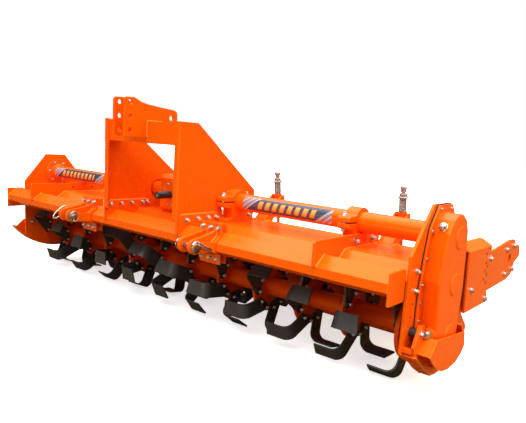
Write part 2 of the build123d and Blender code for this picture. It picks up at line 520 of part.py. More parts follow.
with BuildPart() as hinge_pins:
    for x in HINGE_X:
        across(x - KNUCKLE - 4, x + KNUCKLE + 4, HINGE_Y, HINGE_Z, PIN_R)
hinge_pins.part.label = "hinge_pins"
export_step(hinge_pins.part, "parts/hinge_pins.step")

def board_back_y(z):
    """The rear face of the board's upper part at a height."""
    share = (BOARD_TOP[1] - z) / (BOARD_TOP[1] - BOARD_BEND[1])
    return BOARD_TOP[0] + share * (BOARD_BEND[0] - BOARD_TOP[0]) + BOARD_T * BOARD_SECANT


BOARD_SECANT = sqrt(1 + ((BOARD_BEND[0] - BOARD_TOP[0]) / (BOARD_TOP[1] - BOARD_BEND[1])) ** 2)
KNEE_R, LIP_R = 18.0, 9.0
CHEEK_T = 6.0
cheek_outline = [(board_back_y(-172) - 1, -172), (BOARD_BEND[0] + 5, BOARD_BEND[1]), (797, -516), (786, -548),
                 (748, -522), (690, -488), (656, -452), (board_back_y(-172) - 44, -190)]
with BuildPart() as trailing_board:
    with BuildSketch(Plane.YZ.offset(-BOARD_END_X)) as sheet:
        with BuildLine():
            FilletPolyline(BOARD_TOP, BOARD_BEND, BOARD_KNEE, BOARD_LIP, radius=KNEE_R)
            offset(amount=BOARD_T, side=Side.LEFT)
        make_face()
    extrude(sheet.sketch, amount=2 * BOARD_END_X)
    across(-BOARD_END_X, BOARD_END_X, BOARD_LIP[0] + BOARD_T / 2, BOARD_LIP[1], LIP_R)
    for x in (-BOARD_END_X, BOARD_END_X - CHEEK_T):
        outline(cheek_outline, Plane.YZ.offset(x), CHEEK_T)
    for x in HINGE_X:
        across(x + 1, x + KNUCKLE + 1, HINGE_Y, HINGE_Z, HINGE_R)
        outline([(HINGE_Y - 3, HINGE_Z), (HINGE_Y + HINGE_R, HINGE_Z), (board_back_y(-190) + 4, -190),
                 (board_back_y(-190) - 6, -190), (BOARD_TOP[0] + 1, BOARD_TOP[1])], Plane.YZ.offset(x + 1), KNUCKLE)
        across(x + 1, x + KNUCKLE + 1, HINGE_Y, HINGE_Z, PIN_R + 0.1, Mode.SUBTRACT)
    for x in ROD_X:
        for side in (-1, 1):
            lug = [(board_back_y(-205) - 6, -205), (EYE_Y + 3, EYE_Z + 17), (EYE_Y + 17, EYE_Z + 4), (EYE_Y + 17, EYE_Z - 12),
                   (board_back_y(-295) - 6, -295)]
            outline(lug, Plane.YZ.offset(x + side * 16 - 4), 8)
trailing_board.part.label = "trailing_board"
export_step(trailing_board.part, "parts/trailing_board.step")

# ---------------------------------------------------------------- spring rods, guides and posts
ROD_DIRECTION = (-sin(radians(ROD_LEAN)), cos(radians(ROD_LEAN)))
EYE_REACH = sqrt((GUIDE_Y - EYE_Y) ** 2 + (GUIDE_Z - EYE_Z) ** 2)
GUIDE_HALF_H, GUIDE_R, GUIDE_BORE_R = 16.0, 22.0, 11.0


def rod_plane(x, reach):
    """The plane across a rod, reach above its guide's centre, facing up the rod."""
    return Plane(origin=(x, GUIDE_Y + reach * ROD_DIRECTION[0], GUIDE_Z + reach * ROD_DIRECTION[1]),
                 x_dir=(1, 0, 0), z_dir=(0, ROD_DIRECTION[0], ROD_DIRECTION[1]))


def on_rod(x, reach_from, reach_to, radius, mode=Mode.ADD):
    """A round piece on a rod's line."""
    with BuildSketch(rod_plane(x, reach_from)) as disc:
        Circle(radius)
    extrude(disc.sketch, amount=reach_to - reach_from, mode=mode)


with BuildPart() as spring_rods:
    for x in ROD_X:
        on_rod(x, -EYE_REACH, ROD_TOP_REACH, ROD_R)
        across(x - 11, x + 11, EYE_Y, EYE_Z, 15)
        on_rod(x, 84, 88, 23)
        on_rod(x, 88, 102, 15)
        on_rod(x, ROD_TOP_REACH - 8, ROD_TOP_REACH + 6, 13)
        on_rod(x, -116, -112, 23)
spring_rods.part.label = "spring_rods"
export_step(spring_rods.part, "parts/spring_rods.step")

SPRING_R = 17.0
with BuildPart() as upper_springs:
    for x in ROD_X:
        on_rod(x, GUIDE_HALF_H, 84, SPRING_R)
        on_rod(x, GUIDE_HALF_H, 84, SPRING_R - 6, Mode.SUBTRACT)
upper_springs.part.label = "upper_springs"
export_step(upper_springs.part, "parts/upper_springs.step")

with BuildPart() as lower_springs:
    for x in ROD_X:
        on_rod(x, -112, -GUIDE_HALF_H, SPRING_R)
        on_rod(x, -112, -GUIDE_HALF_H, SPRING_R - 6, Mode.SUBTRACT)
lower_springs.part.label = "lower_springs"
export_step(lower_springs.part, "parts/lower_springs.step")

TRUNNION_R, TRUNNION_OUT = 8.0, 37.0
with BuildPart() as rod_guides:
    for x in ROD_X:
        on_rod(x, -GUIDE_HALF_H, GUIDE_HALF_H, GUIDE_R)
        across(x - TRUNNION_OUT, x + TRUNNION_OUT, GUIDE_Y, GUIDE_Z, TRUNNION_R)
        on_rod(x, -GUIDE_HALF_H, GUIDE_HALF_H, GUIDE_BORE_R, Mode.SUBTRACT)
rod_guides.part.label = "rod_guides"
export_step(rod_guides.part, "parts/rod_guides.step")

POST_IN, POST_T = 28.0, 8.0
post_outline = [(380, DECK_Z), (524, 33), (543, 33), (552, 4), (DECK_REAR_Y, DECK_Z - 20), (DECK_REAR_Y, DECK_Z)]
post_web = [(392, DECK_Z), (458, -41), (467, -41), (401, DECK_Z)]
with BuildPart() as rod_posts:
    for x in ROD_X:
        for side in (-1, 1):
            face = x + side * POST_IN if side > 0 else x - POST_IN - POST_T
            outline(post_outline, Plane.YZ.offset(face), POST_T)
            across(face, face + POST_T, GUIDE_Y, GUIDE_Z, TRUNNION_R + 0.1, Mode.SUBTRACT)
        outline(post_web, Plane.YZ.offset(x - POST_IN), 2 * POST_IN)
rod_posts.part.label = "rod_posts"
export_step(rod_posts.part, "parts/rod_posts.step")

# ---------------------------------------------------------------- rear arms
ARM_Y, ARM_Z = 1112.0, -196.0         # bearing of the rear roller's arm
BEARING_BORE_R = 22.5
arm_outline = [(560, -130), (794, -122), (1094, -94), (1165, -98), (1192, -122), (1268, -142), (1290, -168),
               (1294, -202), (1216, -226), (1200, -258), (1178, -288), (1100, -306), (795, -314), (560, -318)]
CHANNEL_W, CHANNEL_T = 60.0, 8.0
CHANNEL_FRONT_Y, CHANNEL_BACK_Y = 463.0, 792.0
CHANNEL_LOW_Z, CHANNEL_TOP_Z, CHANNEL_RISE = -364.0, -86.0, 26.0
# the ends of the channel are cut back, as (y, z)
channel_cuts = ([(462, -128), (462, -370), (490, -370)], [(756, -50), (800, -50), (800, -370), (793, -370), (768, -307)])
for name, side in SIDES:
    plate_x = SIDE_X + SIDE_T
    out_x = plate_x + CHANNEL_W
    channel = [(plate_x, CHANNEL_TOP_Z + CHANNEL_RISE), (plate_x + 12, CHANNEL_TOP_Z + CHANNEL_RISE), (out_x, CHANNEL_TOP_Z),
               (out_x, CHANNEL_LOW_Z), (plate_x, CHANNEL_LOW_Z)]
    hollow = [(plate_x + CHANNEL_T, CHANNEL_TOP_Z + CHANNEL_RISE - 10), (out_x - CHANNEL_T, CHANNEL_TOP_Z - 5),
              (out_x - CHANNEL_T, CHANNEL_LOW_Z + CHANNEL_T), (plate_x + CHANNEL_T, CHANNEL_LOW_Z + CHANNEL_T)]
    with BuildPart() as arm_bracket:
        outline([(side * x, z) for x, z in channel], Plane.XZ.offset(-CHANNEL_FRONT_Y), CHANNEL_FRONT_Y - CHANNEL_BACK_Y)
        outline([(side * x, z) for x, z in hollow], Plane.XZ.offset(-CHANNEL_FRONT_Y), CHANNEL_FRONT_Y - CHANNEL_BACK_Y,
                Mode.SUBTRACT)
        for cut in channel_cuts:
            outline(cut, Plane.YZ.offset(-1600), 3200, Mode.SUBTRACT)
        outline([(396, -372), (396, -110), (464, -62), (464, -372)],
                Plane.YZ.offset(plate_x if side > 0 else -plate_x - CHANNEL_T), CHANNEL_T)
    arm_bracket.part.label = f"arm_bracket_{name}"
    export_step(arm_bracket.part, f"parts/arm_bracket_{name}.step")

    with BuildPart() as rear_arm:
        arm_x = side * (plate_x + 46) - 6
        outline(arm_outline, Plane.YZ.offset(arm_x), 12)
        across(arm_x, arm_x + 12, ARM_Y, ARM_Z, 26, Mode.SUBTRACT)
    rear_arm.part.label = f"rear_arm_{name}"
    export_step(rear_arm.part, f"parts/rear_arm_{name}.step")

    with BuildPart() as roller_bearing:
        face = arm_x if side > 0 else arm_x + 12
        block(min(face, face - side * 14), max(face, face - side * 14), ARM_Y - 74, ARM_Y + 74, ARM_Z - 74, ARM_Z + 74)
        fillet(roller_bearing.edges().filter_by(Axis.X), 24)
        across(min(face, face - side * 34), max(face, face - side * 34), ARM_Y, ARM_Z, 46)
        across(face - 40, face + 40, ARM_Y, ARM_Z, BEARING_BORE_R, Mode.SUBTRACT)
    roller_bearing.part.label = f"roller_bearing_{name}"
    export_step(roller_bearing.part, f"parts/roller_bearing_{name}.step")
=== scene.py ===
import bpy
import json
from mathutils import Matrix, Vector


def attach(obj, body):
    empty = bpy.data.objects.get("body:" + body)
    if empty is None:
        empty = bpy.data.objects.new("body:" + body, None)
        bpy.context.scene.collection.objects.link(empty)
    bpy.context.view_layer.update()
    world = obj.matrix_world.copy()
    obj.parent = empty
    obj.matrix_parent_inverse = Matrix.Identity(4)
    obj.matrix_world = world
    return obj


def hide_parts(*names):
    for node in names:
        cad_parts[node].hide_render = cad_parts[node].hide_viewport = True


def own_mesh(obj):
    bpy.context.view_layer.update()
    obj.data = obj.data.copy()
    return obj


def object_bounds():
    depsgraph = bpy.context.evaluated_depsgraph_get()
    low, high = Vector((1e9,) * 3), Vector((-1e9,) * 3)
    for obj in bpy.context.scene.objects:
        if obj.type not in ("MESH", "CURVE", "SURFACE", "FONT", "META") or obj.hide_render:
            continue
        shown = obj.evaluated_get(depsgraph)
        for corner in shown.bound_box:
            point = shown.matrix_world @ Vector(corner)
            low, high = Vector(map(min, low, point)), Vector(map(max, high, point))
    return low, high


bl_info = {
    "name": "Rotary Tiller",
    "version": (1, 0, 0),
    "blender": (4, 5, 0),
    "location": "3D View > Sidebar > Tiller",
    "description": "Dresses the packed rotary tiller with its paint, hardware, springs, welds and bands",
    "category": "Object",
}

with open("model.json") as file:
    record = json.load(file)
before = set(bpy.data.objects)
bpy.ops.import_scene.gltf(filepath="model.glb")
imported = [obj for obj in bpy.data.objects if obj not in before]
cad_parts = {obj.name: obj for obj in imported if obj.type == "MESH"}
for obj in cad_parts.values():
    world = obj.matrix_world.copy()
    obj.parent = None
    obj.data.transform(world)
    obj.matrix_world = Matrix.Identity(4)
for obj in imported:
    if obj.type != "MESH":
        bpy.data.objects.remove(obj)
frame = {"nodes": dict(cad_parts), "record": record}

import json
from math import copysign, cos, pi, radians, sin, tan

import bmesh
import bpy
from bpy.props import FloatProperty, FloatVectorProperty, PointerProperty
from mathutils import Matrix, Vector

CAD_BOX = [list(corner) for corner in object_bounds()]

# ---- the camera's stand and the stage, in metres
FLOOR_Z, FLOOR_REACH = CAD_BOX[0][2], 40.0
CAMERA_AT = (2.2655, -1.8554, 0.3185)
CAMERA_YAW, CAMERA_PITCH, CAMERA_ROLL = 38.93, 10.41, 3.95
CAMERA_LENS, SENSOR = 37.12, 36.0
CAMERA_SHIFT = (-0.0067, 0.0570)
WHITE, WARM_SKY, WARM_FLOOR = (1.0, 1.0, 1.0), (1.0, 0.72, 0.3), (0.17, 0.105, 0.025)
FLOOR_GLOW = 0.65
# area lights: name (also its power's setting), place, target, width, height, colour
LIGHTS = (("key", (1.6, -3.4, 4.0), (0.2, 0.2, -0.2), 3.0, 3.0, WHITE),
          ("side", (5.6, 0.2, 1.4), (0.2, 0.2, -0.2), 2.8, 2.4, (1.0, 0.86, 0.25)),
          ("fill", (0.8, -4.4, -0.1), (0.2, 0.2, -0.4), 4.0, 0.9, (1.0, 0.98, 0.94)))

# ---- finishes
BEVEL_SAMPLES, COAT_ROUGHNESS = 4, 0.12
PAINT_DRIFT, PEEL_DEPTH = 0.25, 0.0008
# the painted highlight along the edges, a lighter colour: how far in it reaches (m), how strong it is, and its colour
EDGE_HIGHLIGHT_REACH, EDGE_HIGHLIGHT_SHARE, EDGE_HIGHLIGHT_COLOUR = 0.003, 0.75, (1.0, 0.3, 0.05)
# the weld beads' colour, paler than the paint: a painted highlight on the beads
BEAD_HIGHLIGHT_COLOUR = (1.0, 0.24, 0.03)
# the printed bands: pitch of bars and stripes in metres, and where they end as shares of the length
BAR_PITCH, STRIPE_PITCH, BARS_FROM, STRIPES_TO = 0.0455, 0.034, 0.17, 0.105

# ---- places of the hardware, in millimetres
MM = 0.001
RIGHT, LEFT, FRONT, REAR, UP, DOWN = (1, 0, 0), (-1, 0, 0), (0, -1, 0), (0, 1, 0), (0, 0, 1), (0, 0, -1)
SIDES = (-1, 1)
TUBE_Y, TUBE_R = 252, 44.0
ROTOR_Y, ROTOR_Z, ROTOR_BEAD_R = 264, -404, 46.8


def both_ends(x, facing, size, stud, places):
    """The same rows at the right end and, mirrored, at the left end."""
    return [(side * x, tuple(side * c for c in facing), size, stud, places) for side in (1, -1)]


CHAIN_END = [(69, -126), (77, -204)]
SHOE_BOLT = [(57, -355)]
ARM_BOLTS = [(544, -269), (756, -345), (766, -150)]
BRACE_RIGHT = [(-63, -85), (11, -82), (80, -80), (138, -80), (393, -83)]
BRACE_LEFT = [(-88, -77), (-19, -77), (53, -76), (127, -75)]
# bolts and nuts on the frame: (x, facing, hexagon radius, stud showing, [(y, z), ...])
FRAME_BOLTS_ACROSS = [
    (1452, RIGHT, 9.6, True, CHAIN_END),
    (-1452, LEFT, 10.5, False, CHAIN_END + SHOE_BOLT),
    (-1440, RIGHT, 9.0, True, SHOE_BOLT),
    (1464, RIGHT, 5.6, False, [
        (209, 107), (307, 106), (143, 23), (121, -82), (108, -184), (110, -256), (113, -330), (126, -402),
        (134, -462), (352, -26), (360, -104), (368, -190), (369, -272), (366, -352), (364, -430), (350, -486)]),
    (1498, RIGHT, 10.0, False, [(75, -367)]),
    *both_ends(1512, RIGHT, 12.0, False, ARM_BOLTS),
    *both_ends(1504, RIGHT, 11.5, False, [(1173, -134), (1052, -143), (1183, -261), (1059, -269)]),
    *both_ends(1478, LEFT, 11.5, True, [(1173, -134), (1052, -143), (1183, -258), (1059, -258)]),
    (310, RIGHT, 10.6, True, BRACE_RIGHT),
    (284, LEFT, 11.5, False, BRACE_RIGHT),
    (-284, RIGHT, 10.6, True, BRACE_LEFT + [(160, -74), (393, -83)]),
    (-310, LEFT, 11.5, False, BRACE_LEFT + [(393, -83)]),
    (1109.5, RIGHT, 12.0, True, [(187, -76), (338, -77)]),
]
# empty holes, laid out in the same way
FRAME_HOLES = [
    (1452, RIGHT, 4.5, False, [(64, -254), (55, -305)]),
    *both_ends(1512, RIGHT, 6.0, False, [
        (735, -99), (695, -120), (707, -164), (728, -182), (703, -204), (732, -223), (697, -242), (734, -262)]),
    (-1099.5, RIGHT, 6.5, False, [(172, -74), (319, -78)]),
    (-1109.5, LEFT, 6.5, False, [(172, -74), (319, -78)]),
]
HITCH_X, HITCH_BOLT_STEP, HITCH_NUT_Y, HITCH_HEAD_Y = 498.5, 49.6, -84, -38
# the bolts of the tube's clamps, as (x, y)
CLAMP_BOLTS = [(x, y) for x in (-351.0, 331.0, 1058.5) for y in (TUBE_Y - 88, TUBE_Y + 88)]

# the rotor's gangs of blades: pitch, count and places, then bolt circle, phases and plate thicknesses
GANG_PITCH, GANG_COUNT, LAST_INNER_X, END_GANG_X = 251.5, 12, 1101.0, 1375.0
BOLT_CIRCLE, BOLT_APART, BLADE_BOLT = 112.0, 15.0, 12.5
FIRST_PHASE, PHASE_STEP = 131.0, -15.0
BLADE_T, FLANGE_HALF, END_FLANGE_HALF = 8.0, 7.5, 9.0

# the spring rods
ROD_X = (-1150.0, -395.0, 395.0, 1150.0)
ROD_LEAN = radians(8.0)
GUIDE_Y, GUIDE_Z = 534.0, 20.0
EYE_Z = -240
# the coils' ends along a rod, from its guide
UPPER_COIL, LOWER_COIL = (17, 84), (-112, -17)

# turned solids on each rod, (distance up from the guide, radius): washer, nut, ball end and lower coil's cup
ROD_SOLIDS = (
    (24, ((80, 12), (80, 18), (85, 25), (88, 25.5), (92, 19), (92, 12))),
    (6, ((91, 12), (91, 17), (92.5, 18), (103, 18), (105, 15.5), (105, 9))),
    (24, ((112, 9), (112, 12.5), (114, 13.6), (118, 13.6), (120, 11.5), (121, 11), (124, 14.2), (130, 16),
          (136, 14.2), (140, 9.8), (142, 4))),
    (24, ((-116, 10), (-117, 22), (-116, 24.5), (-113, 25), (-110.5, 20), (-110, 10))))

# the lower hitch pins and their turned solids
PIN_Y, PIN_Z = -218, -162
PIN_SOLIDS = [
    # right pin: a domed head, and its inner end
    ((540, PIN_Y, PIN_Z), RIGHT, 24, [(0, 14), (0, 27), (1.5, 28.5), (8, 28.5), (11, 26), (13, 18), (13.5, 6)]),
    ((434, PIN_Y, PIN_Z), LEFT, 24, [(-2, 14.2), (0, 14.2), (2, 12), (2.2, 4)]),
    # left pin: its right end and its left end
    ((-458, PIN_Y, PIN_Z), RIGHT, 24, [(0, 14), (0, 21), (1.5, 22), (9, 22), (11, 20), (11.5, 13.5), (22, 13.5),
                                       (24, 11), (24.2, 3)]),
    ((-560, PIN_Y, PIN_Z), LEFT, 24, [(-3, 14.2), (2, 14.2), (4, 12), (4.2, 4)]),
]
# wires as (radius, places): the right pin's forged handle, then the linch pins and the clip's pin
PIN_WIRES = [
    *((5, ((551, -226, -142 + aside), (556, -210, -148 + aside), (556, -120, -192 + aside), (553, -112, -196 + aside)))
      for aside in (-5.5, 5.5)),
    (4.5, ((440, PIN_Y - 2, -136), (440, PIN_Y, -190))),
    (5, ((-440, PIN_Y - 1, -134), (-440, PIN_Y, -192))),
    (4.5, ((-556, PIN_Y - 2, -136), (-556, PIN_Y, -192))),
]
# the linch pins' spring rings: wire radius, steps, middle x and z, then reach in x, y and z
PIN_RINGS = [(2.2, 28, 436, PIN_Z - 2, 3, 21, 24), (2.6, 32, -437, PIN_Z, 4, 24, 27)]
CLIP_WIRE, CLIP_STEPS, CLIP_AT, CLIP_LONG, CLIP_WIDE = 3.4, 36, (-556, -235, -151), 50, 13

# the printed bands on the drive tubes: name, first x, last x; then the first and whole angle round the tube
BANDS = [("left", -1388.0, -813.0), ("right", 428.0, 963.0)]
BAND_FROM, BAND_TURN, BAND_STEPS = -38, 90, 24

# the gear case: its flange as (y, z), the two faces of the thin black rim round it, and the point and ratio it is grown
# by
CASE_FLANGE = [(100, -440), (92, -190), (106, -80), (128, 34), (192, 122), (318, 122), (352, 84), (372, -28),
               (386, -208), (380, -440), (340, -510), (160, -510)]
RIM_FACES, RIM_MIDDLE, RIM_GROWTH = (1452.2, 1456.5), (239, -190), 1.012
# the filler on the gear case, and the way its face looks
FILLER, FLANK = (1500, 159, 42), (-0.22, -0.83, 0.51)
# the gearbox's top cover: size, middle and corner radius
COVER_SIZE, COVER_AT, COVER_CORNER = (160, 180, 10), (0, 252, 107.5), 20
# turned castings: filler boss, rotor's bearing cap, gearbox's rear cap, left tube's hub
CASTINGS = [
    (FILLER, FLANK, 24, [(-6, 24), (2, 24), (4, 22), (4.5, 15)]),
    ((-1478, ROTOR_Y, ROTOR_Z), LEFT, 36, [(-1, 54), (4, 54), (7, 50), (9, 34), (14, 30), (15, 26)]),
    ((0, 386, 0), REAR, 36, [(-1, 66), (8, 66), (11, 62), (12, 40), (13, 36)]),
    ((-1428, TUBE_Y, 0), RIGHT, 40, [(-1, 45), (-1, 56), (3, 56), (8, 51), (34, 50), (37, 47), (37, 44)]),
]
# turned plated fittings: filler plug, drain plug, breather, and the clamps' bolts with their nuts
PLUGS = [
    (FILLER, FLANK, 24, [(3, 15), (3, 18.5), (6, 18.5), (7, 17), (16, 16), (20, 12), (21.5, 5)]),
    ((1508, 112, -373), FRONT, 24, [(-1, 16), (4, 16), (5, 14), (7, 14), (8, 16), (10, 16), (11, 14), (13, 14),
                                    (14, 16), (17, 16), (19, 13), (19.5, 5)]),
    ((40, TUBE_Y, 112), UP, 24, [(0, 10), (0, 15), (10, 15), (12, 11), (22, 11), (24, 14), (31, 14), (34, 10)]),
    *(row for x, y in CLAMP_BOLTS for row in (
        ((x, y, 30), DOWN, 16, [(0, 6.5), (98, 6.5)]),
        ((x, y, -28), DOWN, 6, [(0, 15), (2.5, 15), (2.6, 11.5), (13, 11.5), (14, 9.5)]))),
]
# the input's sleeve: its lip and its four ribs
SLEEVE = [
    ((0, 3, 0), FRONT, 24, [(-6, 19.6), (1.5, 19.6), (3.5, 17), (3.5, 9.5), (1, 8.5), (-1, 7.5), (-1.5, 3)]),
    *(((0, y, 0), REAR, 24, [(0, 19), (0.6, 20.1), (3.4, 20.1), (4, 19)]) for y in (12, 24, 36, 60)),
]

# weld lines. The deck and beam tops from rear to front, and the beam's nose, as (y, z)
DECK_LINE = [(430, -104), (107, -104), (57, -142), (4, -153), (-53, -109), (-110, -153)]
NOSE_LINE = [(-8, -118), (-53, -109), (-110, -153), (-110, -189), (-53, -217), (4, -189)]
EAR_LINE = [(-26, 379.5), (-113, 379.5), (-114.5, 372), (-114.5, 300)]
# lines at both sides: (x, [(y, z), ...])
SIDE_WELDS = [
    (303.5, [(-96, -58), (130, -58)]),
    (290.5, [(-96, -58), (160, -58)]),
    (291, [(-113, 271), (-24, 271), (-24, 379), (-113, 379)]),
    (34.5, EAR_LINE), (47.5, EAR_LINE),
    (1099, DECK_LINE), (1110, DECK_LINE),
    (1429.5, NOSE_LINE),
    (1439, [(8, -153), (57, -141), (107, -103), (430, -103)]),
    (1453, [(466, -61), (752, -61)]),
    *((HITCH_X + ear, [(-85, -100), (-85, -121), (-119.5, -149), (-120.5, -195), (-85, -211)])
      for ear in (-40, -25, 25, 40)),
]
# lines at one x only
END_WELDS = [
    (1453, [(36, -452), (70, -478), (141, -532), (214, -576), (262, -584), (336, -584)]),
    (1499, [(40, -451), (70, -471), (141, -525), (214, -569), (262, -577), (336, -577)]),
]
# the left end plate's round sole: the faces' x, then middle (y, z) and radius
SOLE_X, SOLE_AT, SOLE_R = (-1453, -1485, -1499), (255, -148), 386
# the trailing board's lugs: the board's top and foot as (y, z), and how far off its line the welds lie
BOARD_TOP, BOARD_FOOT, BOARD_OFF = (454, -142), (693, -424), 8
# the step along a bead, in metres
BEAD_STEP = 0.0035


# ---- node helpers
def feed(socket, value):
    """Links a socket to another one's value, or sets it."""
    if isinstance(value, bpy.types.NodeSocket):
        socket.id_data.links.new(value, socket)
    elif socket.type == "RGBA":
        socket.default_value = (*value[:3], 1.0)
    else:
        socket.default_value = value


def fill(node, **values):
    """Sets a node's properties and sets or feeds its inputs, all by name."""
    for key, value in values.items():
        if hasattr(node, key):
            setattr(node, key, value)
        else:
            feed(node.inputs[key.replace("_", " ")], value)
    return node


def add_node(tree, kind, **values):
    """A new node, filled in."""
    return fill(tree.nodes.new(kind), **values)


def output_of(tree, kind, **values):
    """The first output of a new node, filled in."""
    return add_node(tree, kind, **values).outputs[0]


def maths(operation, first, second=None, clamp=False):
    """The output of a Math node on two values, at least one of them a socket."""
    tree = (first if isinstance(first, bpy.types.NodeSocket) else second).id_data
    node = add_node(tree, "ShaderNodeMath", operation=operation, use_clamp=clamp)
    feed(node.inputs[0], first)
    if second is not None:
        feed(node.inputs[1], second)
    return node.outputs[0]


def product(first, *others):
    """A socket multiplied by sockets or numbers in turn."""
    for other in others:
        first = maths("MULTIPLY", first, other)
    return first


def mix_colour(share, first, second):
    """The output of a colour Mix node."""
    node = add_node(share.id_data, "ShaderNodeMix", data_type="RGBA")
    for number, value in ((0, share), (6, first), (7, second)):
        feed(node.inputs[number], value)
    return node.outputs[2]


def noise(vector, scale, detail=2.0, roughness=0.5):
    """The value of a noise pattern on a vector."""
    return add_node(vector.id_data, "ShaderNodeTexNoise", Vector=vector, Scale=scale, Detail=detail,
                    Roughness=roughness).outputs["Fac"]


def spread(value, low, high, to_low=0.0, to_high=1.0):
    """The output of a smooth Map Range from low..high to to_low..to_high."""
    node = add_node(value.id_data, "ShaderNodeMapRange", interpolation_type="SMOOTHSTEP")
    for number, given in enumerate((value, low, high, to_low, to_high)):
        feed(node.inputs[number], given)
    return node.outputs[0]


def between(value, low, high, soft):
    """1 where low < value < high, with soft edges."""
    return product(spread(value, low - soft, low + soft), spread(value, high - soft, high + soft, 1.0, 0.0))


def camera_ray(tree):
    """1 for what the camera sees directly."""
    return tree.nodes.new("ShaderNodeLightPath").outputs["Is Camera Ray"]


def new_group(kind, name, inputs, outputs):
    """A node group with sockets of (name, kind, default if any): its tree, inputs and outputs."""
    tree = bpy.data.node_groups.new(name, kind)
    for direction, sockets in (("INPUT", inputs), ("OUTPUT", outputs)):
        for label, socket_kind, *default in sockets:
            socket = tree.interface.new_socket(label, in_out=direction, socket_type="NodeSocket" + socket_kind)
            if default:
                socket.default_value, = default
    return tree, tree.nodes.new("NodeGroupInput").outputs, tree.nodes.new("NodeGroupOutput").inputs


# ---- finishes
def build_paint_film():
    """Sprayed paint: slow shade drift, fine orange peel, thin handling dust in the gloss."""
    tree, given, out = new_group(
        "ShaderNodeTree", "paint_film",
        [("Position", "Vector"), ("Colour", "Color", (1, 1, 1, 1)), ("Deep Colour", "Color", (0, 0, 0, 1)),
         ("Drift", "Float", 0.2), ("Gloss Roughness", "Float", 0.25), ("Peel Scale", "Float", 420.0)],
        [("Colour", "Color"), ("Roughness", "Float"), ("Height", "Float")])
    where = given["Position"]
    slow = spread(noise(where, 3.1, 3.0, 0.55), 0.35, 0.7)
    blotch = spread(noise(where, 17.0, 4.0, 0.6), 0.4, 0.8)
    drift = maths("MULTIPLY", maths("ADD", slow, blotch), given["Drift"], clamp=True)
    feed(out["Colour"], mix_colour(drift, given["Colour"], given["Deep Colour"]))
    haze = product(spread(noise(where, 42.0, 5.0, 0.7), 0.45, 0.75), 0.10)
    feed(out["Roughness"], maths("ADD", given["Gloss Roughness"], haze, clamp=True))
    feed(out["Height"], noise(where, given["Peel Scale"], 1.0))


def new_material(name):
    """A material with one Principled shader: its tree, shader and object coordinates."""
    material = bpy.data.materials.new(name)
    material.use_nodes = True
    tree = material.node_tree
    tree.nodes.clear()
    shader = tree.nodes.new("ShaderNodeBsdfPrincipled")
    add_node(tree, "ShaderNodeOutputMaterial", Surface=shader.outputs[0])
    return tree, shader, tree.nodes.new("ShaderNodeTexCoord").outputs["Object"]


def rounded(tree, radius):
    """The normal of edges rounded by a radius in metres."""
    return output_of(tree, "ShaderNodeBevel", samples=BEVEL_SAMPLES, Radius=radius)


def bumped(height, strength, distance, bevel=0.0):
    """The normal of a height over edges rounded by bevel metres."""
    tree = height.id_data
    bump = add_node(tree, "ShaderNodeBump", Strength=strength, Distance=distance, Height=height)
    if bevel:
        feed(bump.inputs["Normal"], rounded(tree, bevel))
    return bump.outputs[0]


def scaled(colour, ratio):
    """A colour times a ratio."""
    return [ratio * c for c in colour]


def painted(name, colour, deep, roughness, coat=0.0, tint=WHITE, peel=300.0, bump=0.014, bevel=0.0025, edge=None):
    """A sprayed paint material; where an edge colour is given, its edges get a painted highlight, a lighter colour."""
    tree, shader, position = new_material(name)
    film = add_node(tree, "ShaderNodeGroup", node_tree=bpy.data.node_groups["paint_film"], Position=position,
                    Colour=colour, Deep_Colour=deep, Drift=PAINT_DRIFT, Gloss_Roughness=roughness, Peel_Scale=peel)
    base = film.outputs["Colour"]
    if edge:
        # the edges painted lighter: a painted highlight
        turn = add_node(tree, "ShaderNodeVectorMath", operation="DOT_PRODUCT")
        feed(turn.inputs[0], rounded(tree, EDGE_HIGHLIGHT_REACH))
        feed(turn.inputs[1], tree.nodes.new("ShaderNodeNewGeometry").outputs["True Normal"])
        base = mix_colour(spread(turn.outputs["Value"], 0.82, 0.99, EDGE_HIGHLIGHT_SHARE, 0.0), base, edge)
    fill(shader, Base_Color=base, Roughness=film.outputs["Roughness"], Coat_Weight=coat,
         Coat_Roughness=COAT_ROUGHNESS, Specular_Tint=tint,
         Normal=bumped(film.outputs["Height"], bump, PEEL_DEPTH, bevel))


def plated(name, colour, roughness, metallic=1.0):
    """A plated steel material with a cloudy bloom."""
    tree, shader, position = new_material(name)
    cloud = spread(noise(position, 130.0, 4.0, 0.65), 0.35, 0.75)
    fill(shader, Base_Color=mix_colour(cloud, colour, scaled(colour, 0.55)), Metallic=metallic,
         Roughness=maths("ADD", product(cloud, 0.2), roughness),
         Normal=bumped(noise(position, 600.0, 2.0), 0.1, 0.0004, 0.0008))


